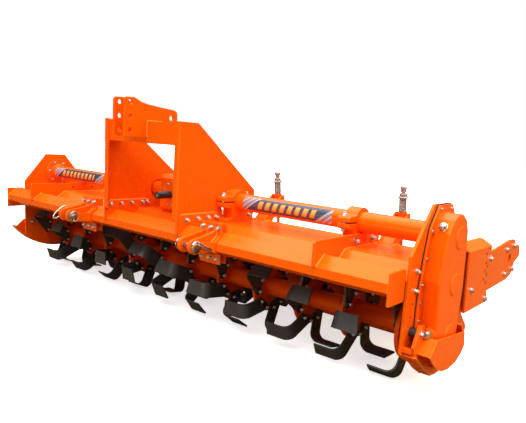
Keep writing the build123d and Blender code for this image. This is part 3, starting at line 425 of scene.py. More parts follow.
def printed_band(name, navy, first, last):
    """A printed band: a slate ground, slanted orange bars in its middle and pale slanted stripes at its ends."""
    tree, shader, position = new_material(name)
    x, y, z = add_node(tree, "ShaderNodeSeparateXYZ", Vector=position).outputs
    # up is measured round the tube, from its front
    up = product(maths("ARCTAN2", z, maths("SUBTRACT", TUBE_Y * MM, y)), TUBE_R * MM)
    slant = maths("SUBTRACT", x, product(up, 0.28))
    steep = maths("SUBTRACT", x, product(up, 1.35))
    span = last - first
    # the ground, lighter towards its middle: a painted highlight along the tube
    band_highlight = between(up, -0.006, 0.014, 0.014)
    ground = mix_colour(product(band_highlight, 0.5), navy, [2.6 * c + 0.03 for c in navy])
    # the bars, each with a dark rim
    inside = maths("FRACT", maths("DIVIDE", maths("SUBTRACT", slant, first), BAR_PITCH))
    run = between(slant, first + BARS_FROM * span, last - BARS_FROM * span, 0.0008)
    rim = product(between(inside, 0.16, 0.84, 0.03), between(up, -0.0175, 0.0265, 0.0012), run)
    face = product(between(inside, 0.22, 0.78, 0.03), between(up, -0.0145, 0.0235, 0.0012), run)
    warm = mix_colour(spread(up, -0.018, 0.026), (0.95, 0.24, 0.03), (1.0, 0.45, 0.12))
    colour = mix_colour(face, mix_colour(rim, ground, (0.25, 0.03, 0.02)), warm)
    # the end stripes, with a thin orange line in each
    near, far = STRIPES_TO * span, (STRIPES_TO + 0.005) * span
    ends = maths("ADD", spread(steep, first + near, first + far, 1.0, 0.0),
                 spread(steep, last - far, last - near), clamp=True)
    beat = maths("FRACT", maths("DIVIDE", maths("SUBTRACT", steep, first), STRIPE_PITCH))
    stripes = mix_colour(between(beat, 0.2, 0.74, 0.1), (0.075, 0.1, 0.16), (0.36, 0.41, 0.52))
    stripes = mix_colour(between(beat, 0.86, 0.97, 0.03), stripes, (0.95, 0.2, 0.04))
    grain = noise(position, 220.0, 3.0)
    fill(shader, Base_Color=mix_colour(ends, colour, stripes), Coat_Weight=0.4, Coat_Roughness=0.1,
         Roughness=spread(grain, 0.3, 0.7, 0.2, 0.32), Normal=bumped(grain, 0.05, 0.0004))


# ---- mesh helpers, in millimetres
def metres(place):
    """A place in metres from millimetres."""
    return [c * MM for c in place]


def new_object(name, data):
    """A new object in the scene."""
    thing = bpy.data.objects.new(name, data)
    bpy.context.scene.collection.objects.link(thing)
    return thing


def place_piece(name, body, mesh, smooth=False):
    """Links a finished mesh as a piece that rides on a body."""
    if smooth:
        mesh.shade_smooth()
    piece = new_object(name, mesh)
    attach(piece, body)
    return piece


def place_solid(name, body, bm, material):
    """Turns a bmesh into a piece with outward faces and one material."""
    bmesh.ops.recalc_face_normals(bm, faces=bm.faces)
    mesh = bpy.data.meshes.new(name)
    bm.to_mesh(mesh)
    bm.free()
    mesh.materials.append(bpy.data.materials[material])
    return place_piece(name, body, mesh)


def turns_of(steps, first=0.0):
    """Angles once round, in radians, from a first one in degrees."""
    return [radians(first) + 2 * pi * step / steps for step in range(steps)]


def add_ring(bm, centre, axis, radius, steps):
    """Adds a ring of vertices about an axis; centre and radius in metres."""
    axis = Vector(axis).normalized()
    aside = Vector((1, 0, 0)) if abs(axis.x) < 0.9 else Vector((0, 0, 1))
    first = axis.cross(aside).normalized()
    second = axis.cross(first)
    return [bm.verts.new(centre + radius * (cos(a) * first + sin(a) * second)) for a in turns_of(steps)]


def join_rings(bm, low, high, twist=0):
    """Adds the faces between two rings."""
    steps = len(low)
    for step in range(steps):
        after = (step + 1) % steps
        bm.faces.new((low[step], low[after], high[(after + twist) % steps], high[(step + twist) % steps]))


def cap_ends(bm, rings):
    """Closes the first and the last ring."""
    bm.faces.new(rings[0][::-1])
    bm.faces.new(rings[-1])


def turned(rows):
    """A bmesh of closed turned solids from rows of (place, axis, steps, [(distance, radius), ...])."""
    bm = bmesh.new()
    for at, axis, steps, profile in rows:
        start, along = Vector(metres(at)), Vector(axis).normalized()
        rings = [add_ring(bm, start + along * (distance * MM), axis, radius * MM, steps)
                 for distance, radius in profile]
        for low, high in zip(rings, rings[1:]):
            join_rings(bm, low, high)
        cap_ends(bm, rings)
    return bm


def wire_loop(bm, places, radius, closed=True, steps=8):
    """Adds a round wire through places."""
    points = [Vector(metres(place)) for place in places]
    count = len(points)
    rings = []
    for number, point in enumerate(points):
        before = points[number - 1] if closed or number else point
        after = points[(number + 1) % count] if closed or number < count - 1 else point
        rings.append(add_ring(bm, point, after - before, radius * MM, steps))
    for low, high in list(zip(rings, rings[1:])) + ([(rings[-1], rings[0])] if closed else []):
        join_rings(bm, low, high, min(range(steps), key=lambda shift: (low[0].co - high[shift].co).length))
    if not closed:
        cap_ends(bm, rings)


# ---- geometry node groups
def new_growth(name, extra=(), **sizes):
    """A geometry node group: Geometry, the sizes with their defaults and the materials in, Geometry out."""
    inputs = [(key.replace("_", " "), "Float", value) for key, value in sizes.items()]
    inputs += [(key, "Material") for key in ("Material", *extra)]
    return new_group("GeometryNodeTree", name, [("Geometry", "Geometry"), *inputs], [("Geometry", "Geometry")])


def read_attribute(tree, name, kind):
    """The output of a Named Attribute node."""
    return add_node(tree, "GeometryNodeInputNamedAttribute", data_type=kind, Name=name).outputs["Attribute"]


def close_growth(given, out, geometry, marked=None):
    """Realizes, flat-shades and coats a group's geometry; faces outside a marked attribute get the stud material."""
    tree = geometry.id_data
    geometry = output_of(tree, "GeometryNodeRealizeInstances", Geometry=geometry)
    geometry = output_of(tree, "GeometryNodeSetShadeSmooth", Geometry=geometry, Shade_Smooth=False)
    chosen = {}
    if marked:
        geometry = output_of(tree, "GeometryNodeSetMaterial", Geometry=geometry, Material=given["Stud Material"])
        chosen["Selection"] = read_attribute(tree, marked, "BOOLEAN")
    feed(out["Geometry"], output_of(tree, "GeometryNodeSetMaterial", Geometry=geometry, Material=given["Material"],
                                    **chosen))


def moved_by(geometry, z):
    """Geometry lifted by z."""
    return output_of(geometry.id_data, "GeometryNodeTransform", Geometry=geometry, Translation=(0, 0, z))


def on_points(given, shape, seed, **values):
    """The shape on each point, its Z along the point's axis attribute, with a random turn about it."""
    tree = shape.id_data
    align = add_node(tree, "FunctionNodeAlignRotationToVector", axis="Z",
                     Vector=read_attribute(tree, "axis", "FLOAT_VECTOR"))
    chance = add_node(tree, "FunctionNodeRandomValue", data_type="FLOAT", Seed=seed)
    chance.inputs[3].default_value = pi
    turn = add_node(tree, "FunctionNodeAxisAngleToRotation", Angle=chance.outputs[1])
    both = add_node(tree, "FunctionNodeRotateRotation", rotation_space="LOCAL", Rotation=align.outputs[0],
                    Rotate_By=turn.outputs[0])
    return output_of(tree, "GeometryNodeInstanceOnPoints", Points=given["Geometry"], Instance=shape,
                    Rotation=both.outputs[0], **values)


def swept(curve, radius, **values):
    """A round wire along a curve."""
    tree = curve.id_data
    profile = add_node(tree, "GeometryNodeCurvePrimitiveCircle", Resolution=8, Radius=radius)
    return output_of(tree, "GeometryNodeCurveToMesh", Curve=curve, Profile_Curve=profile.outputs[0],
                    Fill_Caps=True, **values)


def build_hex_fasteners():
    """On each point a washer, a chamfered hexagon and, where the stud attribute is true, a screw end."""
    tree, given, out = new_growth("hex_fasteners", ["Stud Material"], Washer_Radius=1.32, Washer_Thickness=0.2,
                                  Hexagon_Height=0.62, Stud_Radius=0.55)
    head = tree.nodes.new("GeometryNodeJoinGeometry")
    for kind, z, sizes in (
            ("Cylinder", 0.1, {"Vertices": 20, "Radius": given["Washer Radius"], "Depth": given["Washer Thickness"]}),
            ("Cylinder", 0.5, {"Vertices": 6, "Radius": 1.0, "Depth": given["Hexagon Height"]}),
            ("Cone", 0.8, {"Vertices": 6, "Radius_Top": 0.8, "Radius_Bottom": 1.0, "Depth": 0.14})):
        shape = add_node(tree, "GeometryNodeMesh" + kind, **sizes)
        feed(head.inputs[0], moved_by(shape.outputs["Mesh"], z))
    head = output_of(tree, "GeometryNodeStoreNamedAttribute", data_type="BOOLEAN", domain="FACE",
                     Geometry=head.outputs[0], Name="head", Value=True)
    stud = add_node(tree, "GeometryNodeMeshCylinder", Vertices=12, Depth=1.6, Radius=given["Stud Radius"])
    size = read_attribute(tree, "size", "FLOAT")
    joined = tree.nodes.new("GeometryNodeJoinGeometry")
    feed(joined.inputs[0], on_points(given, head, 4, Scale=size))
    feed(joined.inputs[0], on_points(given, moved_by(stud.outputs["Mesh"], 0.8), 4, Scale=size,
                                     Selection=read_attribute(tree, "stud", "BOOLEAN")))
    close_growth(given, out, joined.outputs[0], "head")


def build_drilled_holes():
    """A thin dark disc for each drilled hole."""
    tree, given, out = new_growth("drilled_holes", Depth=0.0012)
    disc = add_node(tree, "GeometryNodeMeshCylinder", Vertices=18, Radius=1.0, Depth=given["Depth"])
    size = read_attribute(tree, "size", "FLOAT")
    scale = output_of(tree, "ShaderNodeCombineXYZ", X=size, Y=size, Z=1.0)
    close_growth(given, out, on_points(given, disc.outputs["Mesh"], 1, Scale=scale))


def build_coils():
    """A coil spring on each point, rising along its axis."""
    tree, given, out = new_growth("coils", Turns=7.0, Coil_Radius=0.0135, Wire_Radius=0.0028, Height=0.068)
    helix = output_of(tree, "GeometryNodeCurveSpiral", Resolution=20, Rotations=given["Turns"],
                     Start_Radius=given["Coil Radius"], End_Radius=given["Coil Radius"], Height=given["Height"])
    close_growth(given, out, on_points(given, swept(helix, given["Wire Radius"]), 2))


def build_weld_beads():
    """A rippled weld bead along every edge chain."""
    tree, given, out = new_growth("weld_beads", Bead_Radius=0.0036, Ripple=0.2, Ripple_Length=0.007)
    curve = output_of(tree, "GeometryNodeMeshToCurve", Mesh=given["Geometry"])
    fine = output_of(tree, "GeometryNodeResampleCurve", mode="LENGTH", Length=BEAD_STEP, Curve=curve)
    along = tree.nodes.new("GeometryNodeSplineParameter").outputs["Length"]
    phase = maths("DIVIDE", product(along, 2 * pi), given["Ripple Length"])
    swell = maths("ADD", product(maths("SINE", phase), given["Ripple"]), 1.0)
    close_growth(given, out, swept(fine, given["Bead Radius"], Scale=swell))


def grow(name, body, seed_mesh, group, material, smooth=False, **settings):
    """Runs a geometry node group on a seed mesh and keeps its result as a plain mesh piece on a body."""
    carrier = new_object(name + "_seed", seed_mesh)
    modifier = carrier.modifiers.new("grow", "NODES")
    modifier.node_group = bpy.data.node_groups[group]
    sockets = {item.name: item.identifier for item in modifier.node_group.interface.items_tree
               if item.in_out == "INPUT"}
    for key, value in {"Material": material, **settings}.items():
        modifier[sockets[key.replace("_", " ")]] = bpy.data.materials[value] if isinstance(value, str) else value
    bpy.context.view_layer.update()
    evaluated = carrier.evaluated_get(bpy.context.evaluated_depsgraph_get())
    mesh = bpy.data.meshes.new_from_object(evaluated)
    mesh.name = name
    bpy.data.objects.remove(carrier)
    if not mesh.polygons:
        raise RuntimeError(name + " grew nothing")
    return place_piece(name, body, mesh, smooth)


def points_mesh(name, rows):
    """A mesh of points from rows of (place, axis, size, stud)."""
    mesh = bpy.data.meshes.new(name)
    mesh.from_pydata([metres(row[0]) for row in rows], [], [])
    for attribute, kind, field, values in (
            ("axis", "FLOAT_VECTOR", "vector", [c for row in rows for c in row[1]]),
            ("size", "FLOAT", "value", [row[2] * MM for row in rows]),
            ("stud", "BOOLEAN", "value", [row[3] for row in rows])):
        mesh.attributes.new(attribute, kind, "POINT").data.foreach_set(field, values)
    return mesh


def lines_mesh(name, lines):
    """A mesh of edge chains from lists of places."""
    points, edges = [], []
    for line in lines:
        edges += [(len(points) + step, len(points) + step + 1) for step in range(len(line) - 1)]
        points += [metres(place) for place in line]
    mesh = bpy.data.meshes.new(name)
    mesh.from_pydata(points, edges, [])
    return mesh


# ---- rows and lines of the hardware
def across_rows(table):
    """Rows from a table of (x, facing, size, stud, [(y, z), ...])."""
    return [((x, y, z), facing, size, stud) for x, facing, size, stud, places in table for y, z in places]


def gangs():
    """Each gang on the rotor: number, middle, half of its flange's thickness, whether the last."""
    for gang in range(GANG_COUNT - 1):
        yield gang, LAST_INNER_X - GANG_PITCH * (GANG_COUNT - 2 - gang), FLANGE_HALF, False
    yield GANG_COUNT - 1, END_GANG_X, END_FLANGE_HALF, True


def gang_rows():
    """The blades' bolt heads and nuts."""
    rows = []
    for gang, x, half, last in gangs():
        # blades sit at the right of a flange, and at the left of the last one
        left, right = (half + BLADE_T, half) if last else (half, half + BLADE_T)
        for spoke in range(6):
            left_hand = spoke % 2 == 1
            if (gang == 0 and left_hand) or (last and not left_hand):
                continue
            for aside in (-BOLT_APART, BOLT_APART):
                angle = radians(FIRST_PHASE + PHASE_STEP * gang + 60 * spoke + aside)
                y, z = ROTOR_Y - BOLT_CIRCLE * cos(angle), ROTOR_Z + BOLT_CIRCLE * sin(angle)
                head, nut = ((x - left, y, z), LEFT, BLADE_BOLT, False), ((x + right, y, z), RIGHT, BLADE_BOLT, True)
                rows += [head, nut] if last else [nut, head]
    return rows


def around(x, facing, y, z, radius, count, first, size, stud=False):
    """A ring of bolts about an axis along X."""
    return [((x, y + radius * cos(a), z + radius * sin(a)), facing, size, stud) for a in turns_of(count, first)]


def frame_rows():
    """Every bolt and nut of the frame."""
    rows = across_rows(FRAME_BOLTS_ACROSS)
    for side in SIDES:
        for step in (-1, 0, 1):
            for z in (-88, -232):
                x = side * HITCH_X + step * HITCH_BOLT_STEP
                rows += [((x, HITCH_NUT_Y, z), FRONT, 9.4, True), ((x, HITCH_HEAD_Y, z), REAR, 10.5, False)]
        rows += around(side * 152, (side, 0, 0), TUBE_Y, 0, 61, 8, 22.5, 6.5)
    rows += [((x, y, 28), UP, 11.5, True) for x, y in CLAMP_BOLTS]
    # the left end: the tube's hub, and both faces of the rotor's bearing
    rows += around(-1428, RIGHT, TUBE_Y, 0, 66, 6, -126, 9.0)
    rows += around(-1430, RIGHT, ROTOR_Y, ROTOR_Z, 100, 6, 0, 9.0)
    rows += around(-1452, LEFT, ROTOR_Y, ROTOR_Z, 100, 6, 0, 9.0, True)
    # the gearbox: the input's ring and the cover
    rows += [((60 * cos(a), 94, 60 * sin(a)), FRONT, 6.0, False) for a in turns_of(8, 22.5)]
    return rows + [((x, y, 112), UP, 6.5, False) for x in (-66, 0, 66) for y in (176, 328)]


def on_rod(x, reach):
    """A place on a spring rod, reach millimetres above its guide."""
    return (x, GUIDE_Y - reach * sin(ROD_LEAN), GUIDE_Z + reach * cos(ROD_LEAN))


def eye_rows():
    """The bolts through the rods' eyes."""
    y = GUIDE_Y + (GUIDE_Z - EYE_Z) * tan(ROD_LEAN)
    return [((x + out * 20, y, EYE_Z), (out, 0, 0), 11.0, out < 0) for x in ROD_X for out in SIDES]


def ring_line(x, y, z, radius, steps=48):
    """A closed ring about an axis along X, as a chain of places."""
    return [(x, y + radius * cos(a), z + radius * sin(a)) for a in (*turns_of(steps), 2 * pi)]


def frame_welds():
    """The frame's weld beads."""
    lines = [[(side * x, y, z) for y, z in places] for side in SIDES for x, places in SIDE_WELDS]
    lines += [[(x, y, z) for y, z in places] for x, places in END_WELDS]
    lines += [[(x + out, y, -103.5) for y in (384, 432)] for x in ROD_X for out in (-36.5, -27.5, 27.5, 36.5)]
    lines += [ring_line(x, TUBE_Y, 0, TUBE_R + 1) for x in (-1427, 1030.5)]
    (y, z), sole = SOLE_AT, [radians(a) for a in range(222, 312, 6)]
    return lines + [[(x, y + SOLE_R * cos(a), z + SOLE_R * sin(a)) for a in sole] for x in SOLE_X]


def rotor_welds():
    """The weld rings between the rotor's tube and its flanges."""
    return [ring_line(x + out * (half + 0.5), ROTOR_Y, ROTOR_Z, ROTOR_BEAD_R)
            for _, x, half, _ in gangs() for out in SIDES]


def board_welds():
    """The weld beads of the trailing board's lugs."""
    (y, top), slope = BOARD_TOP, (BOARD_FOOT[0] - BOARD_TOP[0]) / (BOARD_TOP[1] - BOARD_FOOT[1])
    return [[(x + out, y + slope * (top - z) + BOARD_OFF, z) for z in (-206, -293)]
            for x in ROD_X for out in (-20.5, -11.5, 11.5, 20.5)]


# ---- settings
COLOUR = {"subtype": "COLOR", "min": 0.0, "max": 1.0}


class TillerFinish(bpy.types.PropertyGroup):
    paint: FloatVectorProperty(
        name="Paint", description="Colour of the sprayed paint", default=(0.92, 0.108, 0.001), **COLOUR)
    # the rotor's paint is set a little darker than the frame's: painted shade, for the rotor in the deck's shadow
    rotor_paint: FloatVectorProperty(
        name="Rotor paint", description="Colour of the rotor's paint", default=(0.86, 0.07, 0.002), **COLOUR)
    gloss: FloatVectorProperty(
        name="Gloss", description="Tint of the paint's shine", default=(1.0, 0.7, 0.16), **COLOUR)
    zinc: FloatVectorProperty(
        name="Zinc", description="Colour of the plated hardware", default=(0.66, 0.67, 0.70), **COLOUR)
    blade: FloatVectorProperty(
        name="Blade", description="Colour of the dipped blades", default=(0.040, 0.042, 0.047), **COLOUR)
    navy: FloatVectorProperty(
        name="Band", description="Ground colour of the printed bands", default=(0.028, 0.042, 0.075), **COLOUR)


class TillerHardware(bpy.types.PropertyGroup):
    washer: FloatProperty(name="Washer radius", description="Washer radius over hexagon radius", default=1.3, min=1.0)
    height: FloatProperty(name="Head height", description="Head height over hexagon radius", default=0.62, min=0.2)
    stud: FloatProperty(name="Stud radius", description="Stud radius over hexagon radius", default=0.62, min=0.1)


class TillerSprings(bpy.types.PropertyGroup):
    coil: FloatProperty(
        name="Coil radius", description="Radius of the coil's middle line", default=0.0156, min=0.005, unit="LENGTH")
    wire: FloatProperty(
        name="Wire radius", description="Radius of the spring wire", default=0.0029, min=0.001, unit="LENGTH")
    upper_turns: FloatProperty(name="Upper turns", description="Turns of the upper coil", default=9.0, min=2.0)
    lower_turns: FloatProperty(name="Lower turns", description="Turns of the lower coil", default=12.0, min=2.0)
    keep: FloatProperty(
        name="Compressed share", description="Lower coil's length with the board raised", default=0.46,
        min=0.1, max=1.0)


class TillerWelds(bpy.types.PropertyGroup):
    bead: FloatProperty(
        name="Bead radius", description="Radius of the weld beads", default=0.0042, min=0.001, unit="LENGTH")
    ripple: FloatProperty(name="Ripple", description="How much the bead swells at each ripple", default=0.2, min=0.0)


class TillerStage(bpy.types.PropertyGroup):
    sky_top: FloatProperty(name="Sky above", description="Brightness of the studio overhead", default=3.8, min=0.0)
    sky_level: FloatProperty(
        name="Sky level", description="Brightness of the studio at eye height", default=0.05, min=0.0)
    backdrop: FloatProperty(name="Backdrop", description="Brightness of the paper behind", default=0.55, min=0.0)
    fill: FloatProperty(name="Fill light", description="Power of the low soft box in front", default=44.0, min=0.0)
    key: FloatProperty(name="Key light", description="Power of the soft box above the front", default=128.0, min=0.0)
    side: FloatProperty(
        name="Side light", description="Power of the soft box at the right end", default=104.0, min=0.0)


# ---- operators
class TILLER_OT_finish(bpy.types.Operator):
    """Build the finishes and put them on the machine's own solids"""
    bl_idname = "tiller.finish"
    bl_label = "Finishes"

    def execute(self, context):
        look = context.scene.tiller_finish
        paint, shine = look.paint, {"tint": look.gloss}
        build_paint_film()
        # the frame's and the castings' paint gets a painted highlight along its edges
        painted("orange_gloss", paint, scaled(paint, 0.84), 0.24, edge=EDGE_HIGHLIGHT_COLOUR, **shine)
        painted("orange_cast", paint, scaled(paint, 0.8), 0.32, peel=260.0, bump=0.16, bevel=0.005, edge=EDGE_HIGHLIGHT_COLOUR,
                **shine)
        # the weld beads painted paler than the frame: a painted highlight
        painted("weld_bead", BEAD_HIGHLIGHT_COLOUR, paint, 0.3, **shine)
        # the rotor's darker paint is painted shade
        painted("rotor_satin", look.rotor_paint, scaled(look.rotor_paint, 0.6), 0.36, **shine)
        painted("blade_dip", look.blade, scaled(look.blade, 1.7), 0.42, coat=0.15, bevel=0.0012)
        painted("black_moulding", (0.014, 0.014, 0.015), (0.03, 0.03, 0.03), 0.45, bevel=0.001)
        painted("hole_shade", (0.09, 0.008, 0.001), (0.03, 0.003, 0.001), 0.8, bevel=0.0)
        painted("black_nut", (0.02, 0.02, 0.022), (0.05, 0.05, 0.055), 0.35, bevel=0.001)
        painted("gasket_black", (0.006, 0.006, 0.007), (0.015, 0.015, 0.015), 0.7, bevel=0.0)
        plated("zinc_plate", look.zinc, 0.2)
        plated("screw_end", scaled(look.zinc, 1.15), 0.34, metallic=0.5)
        plated("zinc_wire", scaled(look.zinc, 0.55), 0.28, metallic=0.55)
        for name, first, last in BANDS:
            printed_band("band_print_" + name, look.navy, first * MM, last * MM)
        finishes = {"orange_paint": "orange_gloss", "cast_paint": "orange_cast", "rotor_paint": "rotor_satin",
                    "blade_black": "blade_dip", "black_plastic": "black_moulding", "zinc": "zinc_plate"}
        slots = {part["node"]: part["material_slot"] for part in frame["record"]["subparts"]}
        for name, node in frame["nodes"].items():
            node.data.materials.clear()
            node.data.materials.append(bpy.data.materials[finishes[slots[name]]])
        return {"FINISHED"}


class TILLER_OT_hardware(bpy.types.Operator):
    """Put every bolt, nut and empty hole on the frame and the rotor"""
    bl_idname = "tiller.hardware"
    bl_label = "Bolts and holes"

    def execute(self, context):
        sizes = context.scene.tiller_hardware
        build_hex_fasteners()
        build_drilled_holes()
        ratios = {"Washer_Radius": sizes.washer, "Hexagon_Height": sizes.height, "Stud_Radius": sizes.stud}
        for name, body, rows, finish in (
                ("frame_bolts", "frame", frame_rows(), "zinc_plate"),
                ("blade_bolts", "rotor", gang_rows(), "black_nut"),
                ("rod_eye_bolts", "board", eye_rows(), "zinc_plate")):
            piece = grow(name, body, points_mesh(name, rows), "hex_fasteners", finish, Stud_Material="screw_end",
                         **ratios)
        grow("frame_holes", "frame", points_mesh("frame_holes", across_rows(FRAME_HOLES)), "drilled_holes",
             "hole_shade")
        return {"FINISHED"}


class TILLER_OT_springs(bpy.types.Operator):
    """Wind the coil springs on the four board rods, and fit the rods' collars and ball ends"""
    bl_idname = "tiller.springs"
    bl_label = "Springs"

    def execute(self, context):
        sizes = context.scene.tiller_springs
        build_coils()
        rod = (0.0, -sin(ROD_LEAN), cos(ROD_LEAN))
        for name, body, (low, high), turns in (
                ("upper_coils", "guides", UPPER_COIL, sizes.upper_turns),
                ("lower_coils", "rods", LOWER_COIL, sizes.lower_turns)):
            rows = [(on_rod(x, low + sizes.wire / MM), rod, 1, False) for x in ROD_X]
            coils = grow(name, body, points_mesh(name, rows), "coils", "zinc_wire", smooth=True, Turns=turns,
                         Coil_Radius=sizes.coil, Wire_Radius=sizes.wire, Height=(high - low) * MM - 2 * sizes.wire)
            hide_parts(name.replace("coils", "springs"))
            if body == "rods":
                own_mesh(coils)
        bm = turned([(on_rod(x, 0), rod, *solid) for x in ROD_X for solid in ROD_SOLIDS])
        place_solid("rod_collars", "rods", bm, "zinc_wire")
        return {"FINISHED"}


class TILLER_OT_bands(bpy.types.Operator):
    """Wrap the printed bands round the front of the two drive tubes"""
    bl_idname = "tiller.bands"
    bl_label = "Printed bands"

    def execute(self, context):
        arc = [radians(BAND_FROM + BAND_TURN * step / BAND_STEPS) for step in range(BAND_STEPS + 1)]
        section = [(radius, angle) for radius, angles in ((TUBE_R + 0.5, arc), (TUBE_R - 0.3, arc[::-1]))
                   for angle in angles]
        for name, *ends in BANDS:
            bm = bmesh.new()
            rings = [[bm.verts.new(metres((x, TUBE_Y - radius * cos(angle), radius * sin(angle))))
                      for radius, angle in section] for x in ends]
            join_rings(bm, *rings)
            for ring in rings:
                for step in range(BAND_STEPS):
                    bm.faces.new((ring[step], ring[step + 1], ring[-2 - step], ring[-1 - step]))
            place_solid("tube_band_" + name, "frame", bm, "band_print_" + name)
        return {"FINISHED"}


class TILLER_OT_pins(bpy.types.Operator):
    """Dress the two lower hitch pins: heads, handle, linch pins and rings"""
    bl_idname = "tiller.pins"
    bl_label = "Hitch pins"

    def execute(self, context):
        bm = turned(PIN_SOLIDS)
        for radius, places in PIN_WIRES:
            wire_loop(bm, places, radius, closed=False)
        for wire, steps, x, z, out, back, rise in PIN_RINGS:
            wire_loop(bm, [(x + out * cos(a), PIN_Y + back * cos(a), z + rise * sin(a)) for a in turns_of(steps)], wire)
        # the left pin's long wire clip, its ends squarer than an ellipse's
        clip, (x, y, z) = [], CLIP_AT
        for angle in turns_of(CLIP_STEPS):
            along = CLIP_LONG * copysign(abs(cos(angle)) ** 0.7, cos(angle))
            across = CLIP_WIDE * sin(angle)
            clip.append((x + 0.5 * across, y + 0.78 * along + 0.6 * across, z + 0.62 * along - 0.78 * across))
        wire_loop(bm, clip, CLIP_WIRE)
        place_solid("hitch_pin_fittings", "frame", bm, "zinc_plate")
        return {"FINISHED"}


class TILLER_OT_castings(bpy.types.Operator):
    """Add the plugs, caps and covers of the gearbox, the gear case and the bearings"""
    bl_idname = "tiller.castings"
    bl_label = "Plugs and covers"

    def execute(self, context):
        bm = turned(CASTINGS)
        cover = bmesh.ops.create_cube(bm, size=1.0)["verts"]
        bmesh.ops.scale(bm, vec=metres(COVER_SIZE), verts=cover)
        bmesh.ops.translate(bm, vec=metres(COVER_AT), verts=cover)
        corners = [edge for edge in bm.edges if all(v in cover for v in edge.verts)
                   and abs(edge.verts[0].co.z - edge.verts[1].co.z) > 0.005]
        bmesh.ops.bevel(bm, geom=corners, offset=COVER_CORNER * MM, segments=4, affect="EDGES")
        place_solid("cast_covers", "frame", bm, "orange_cast")
        place_solid("case_plugs", "frame", turned(PLUGS), "zinc_plate")
        # a thin black rim round the gear case's flange, against the side plate
        bm = bmesh.new()
        mid_y, mid_z = RIM_MIDDLE
        rims = [[bm.verts.new(metres((x, mid_y + (y - mid_y) * RIM_GROWTH, mid_z + (z - mid_z) * RIM_GROWTH)))
                 for y, z in CASE_FLANGE] for x in RIM_FACES]
        join_rings(bm, *rims)
        cap_ends(bm, rims)
        place_solid("case_gasket", "frame", bm, "gasket_black")
        place_solid("sleeve_lip", "input", turned(SLEEVE), "black_moulding")
        return {"FINISHED"}


class TILLER_OT_welds(bpy.types.Operator):
    """Lay the weld beads where the plates meet"""
    bl_idname = "tiller.welds"
    bl_label = "Welds"

    def execute(self, context):
        sizes = context.scene.tiller_welds
        build_weld_beads()
        for name, body, lines, finish in (
                ("frame_welds", "frame", frame_welds(), "weld_bead"),
                ("rotor_welds", "rotor", rotor_welds(), "rotor_satin"),
                ("board_welds", "board", board_welds(), "weld_bead")):
            grow(name, body, lines_mesh(name, lines), "weld_beads", finish, smooth=True, Bead_Radius=sizes.bead,
                 Ripple=sizes.ripple)
        return {"FINISHED"}


# ---- the stage
def build_studio_world(scene, top, level, behind):
    """A studio sky: white behind the machine, and a soft gradient for what lights it."""
    scene.world = bpy.data.worlds.new("studio")
    scene.world.use_nodes = True
    tree = scene.world.node_tree
    facing = tree.nodes.new("ShaderNodeTexCoord").outputs["Generated"]
    _, back, rise = add_node(tree, "ShaderNodeSeparateXYZ", Vector=facing).outputs
    backdrop = product(spread(back, 0.3, 0.9, 0.0, behind), spread(rise, 0.3, 0.6, 1.0, 0.0))
    gradient = maths("ADD", spread(rise, 0.4, 0.95, level, top), backdrop)
    shade = tree.nodes.new("ShaderNodeMix")
    for number, value in ((0, camera_ray(tree)), (2, gradient), (3, 1.0)):
        feed(shade.inputs[number], value)
    hue = mix_colour(spread(rise, 0.35, 0.75), WARM_SKY, WHITE)
    fill(tree.nodes["Background"], Color=mix_colour(camera_ray(tree), hue, WHITE), Strength=shade.outputs[0])


def build_floor():
    """A wide paper floor under the machine, white to the camera."""
    mesh = bpy.data.meshes.new("studio_floor")
    corners = ((-1, -1), (1, -1), (1, 1), (-1, 1))
    mesh.from_pydata([(x * FLOOR_REACH, y * FLOOR_REACH, FLOOR_Z) for x, y in corners], [], [(0, 1, 2, 3)])
    floor = new_object("studio_floor", mesh)
    tree, shader, _ = new_material("studio_paper")
    fill(shader, Base_Color=mix_colour(camera_ray(tree), WARM_FLOOR, WHITE), Roughness=0.9,
         Emission_Color=WHITE, Emission_Strength=product(camera_ray(tree), FLOOR_GLOW))
    mesh.materials.append(bpy.data.materials["studio_paper"])


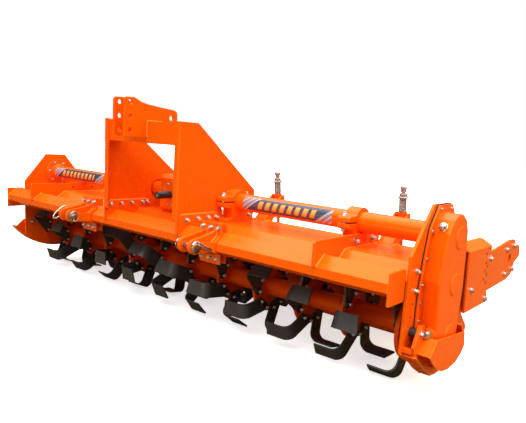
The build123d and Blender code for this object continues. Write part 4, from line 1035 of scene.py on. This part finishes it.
class TILLER_OT_stage(bpy.types.Operator):
    """Set the floor, the soft studio lights and the camera"""
    bl_idname = "tiller.stage"
    bl_label = "Stage"

    def execute(self, context):
        scene, stage = context.scene, context.scene.tiller_stage
        scene.view_settings.view_transform = "Standard"
        build_studio_world(scene, stage.sky_top, stage.sky_level, stage.backdrop)
        build_floor()
        for name, place, target, width, height, colour in LIGHTS:
            data = bpy.data.lights.new(name, "AREA")
            data.shape, data.size, data.size_y, data.color = "RECTANGLE", width, height, colour
            data.energy = getattr(stage, name)
            lamp = new_object(name, data)
            lamp.location = place
            lamp.rotation_euler = (Vector(target) - Vector(place)).to_track_quat("-Z", "Y").to_euler()
        yaw, pitch, roll = (radians(angle) for angle in (CAMERA_YAW, CAMERA_PITCH, CAMERA_ROLL))
        forward = Vector((-sin(yaw) * cos(pitch), cos(yaw) * cos(pitch), -sin(pitch)))
        level = Vector((cos(yaw), sin(yaw), 0.0))
        rise = level.cross(forward)
        right = cos(roll) * level + sin(roll) * rise
        up = -sin(roll) * level + cos(roll) * rise
        data = bpy.data.cameras.new("camera")
        data.lens, data.sensor_width, data.sensor_fit = CAMERA_LENS, SENSOR, "HORIZONTAL"
        data.shift_x, data.shift_y = CAMERA_SHIFT
        camera = new_object("camera", data)
        camera.matrix_world = Matrix.Translation(CAMERA_AT) @ Matrix((right, up, -forward)).transposed().to_4x4()
        scene.camera = camera
        return {"FINISHED"}


SETTINGS = {"tiller_stage": TillerStage, "tiller_finish": TillerFinish, "tiller_hardware": TillerHardware,
            "tiller_springs": TillerSprings, "tiller_welds": TillerWelds}
OPERATORS = (TILLER_OT_stage, TILLER_OT_finish, TILLER_OT_hardware, TILLER_OT_springs, TILLER_OT_bands,
             TILLER_OT_pins, TILLER_OT_castings, TILLER_OT_welds)


class TILLER_PT_panel(bpy.types.Panel):
    bl_label = "Rotary tiller"
    bl_idname = "TILLER_PT_panel"
    bl_space_type = "VIEW_3D"
    bl_region_type = "UI"
    bl_category = "Tiller"

    def draw(self, context):
        for operator in OPERATORS:
            self.layout.operator(operator.bl_idname)


CLASSES = (*SETTINGS.values(), *OPERATORS, TILLER_PT_panel)


def register():
    for kind in CLASSES:
        bpy.utils.register_class(kind)
    for name, kind in SETTINGS.items():
        setattr(bpy.types.Scene, name, PointerProperty(type=kind))


def unregister():
    for name in SETTINGS:
        delattr(bpy.types.Scene, name)
    for kind in reversed(CLASSES):
        bpy.utils.unregister_class(kind)


def main():
    register()
    for operator in ("stage", "finish", "hardware", "springs", "bands", "pins", "castings", "welds"):
        getattr(bpy.ops.tiller, operator)()


if __name__ == "__main__":
    main()
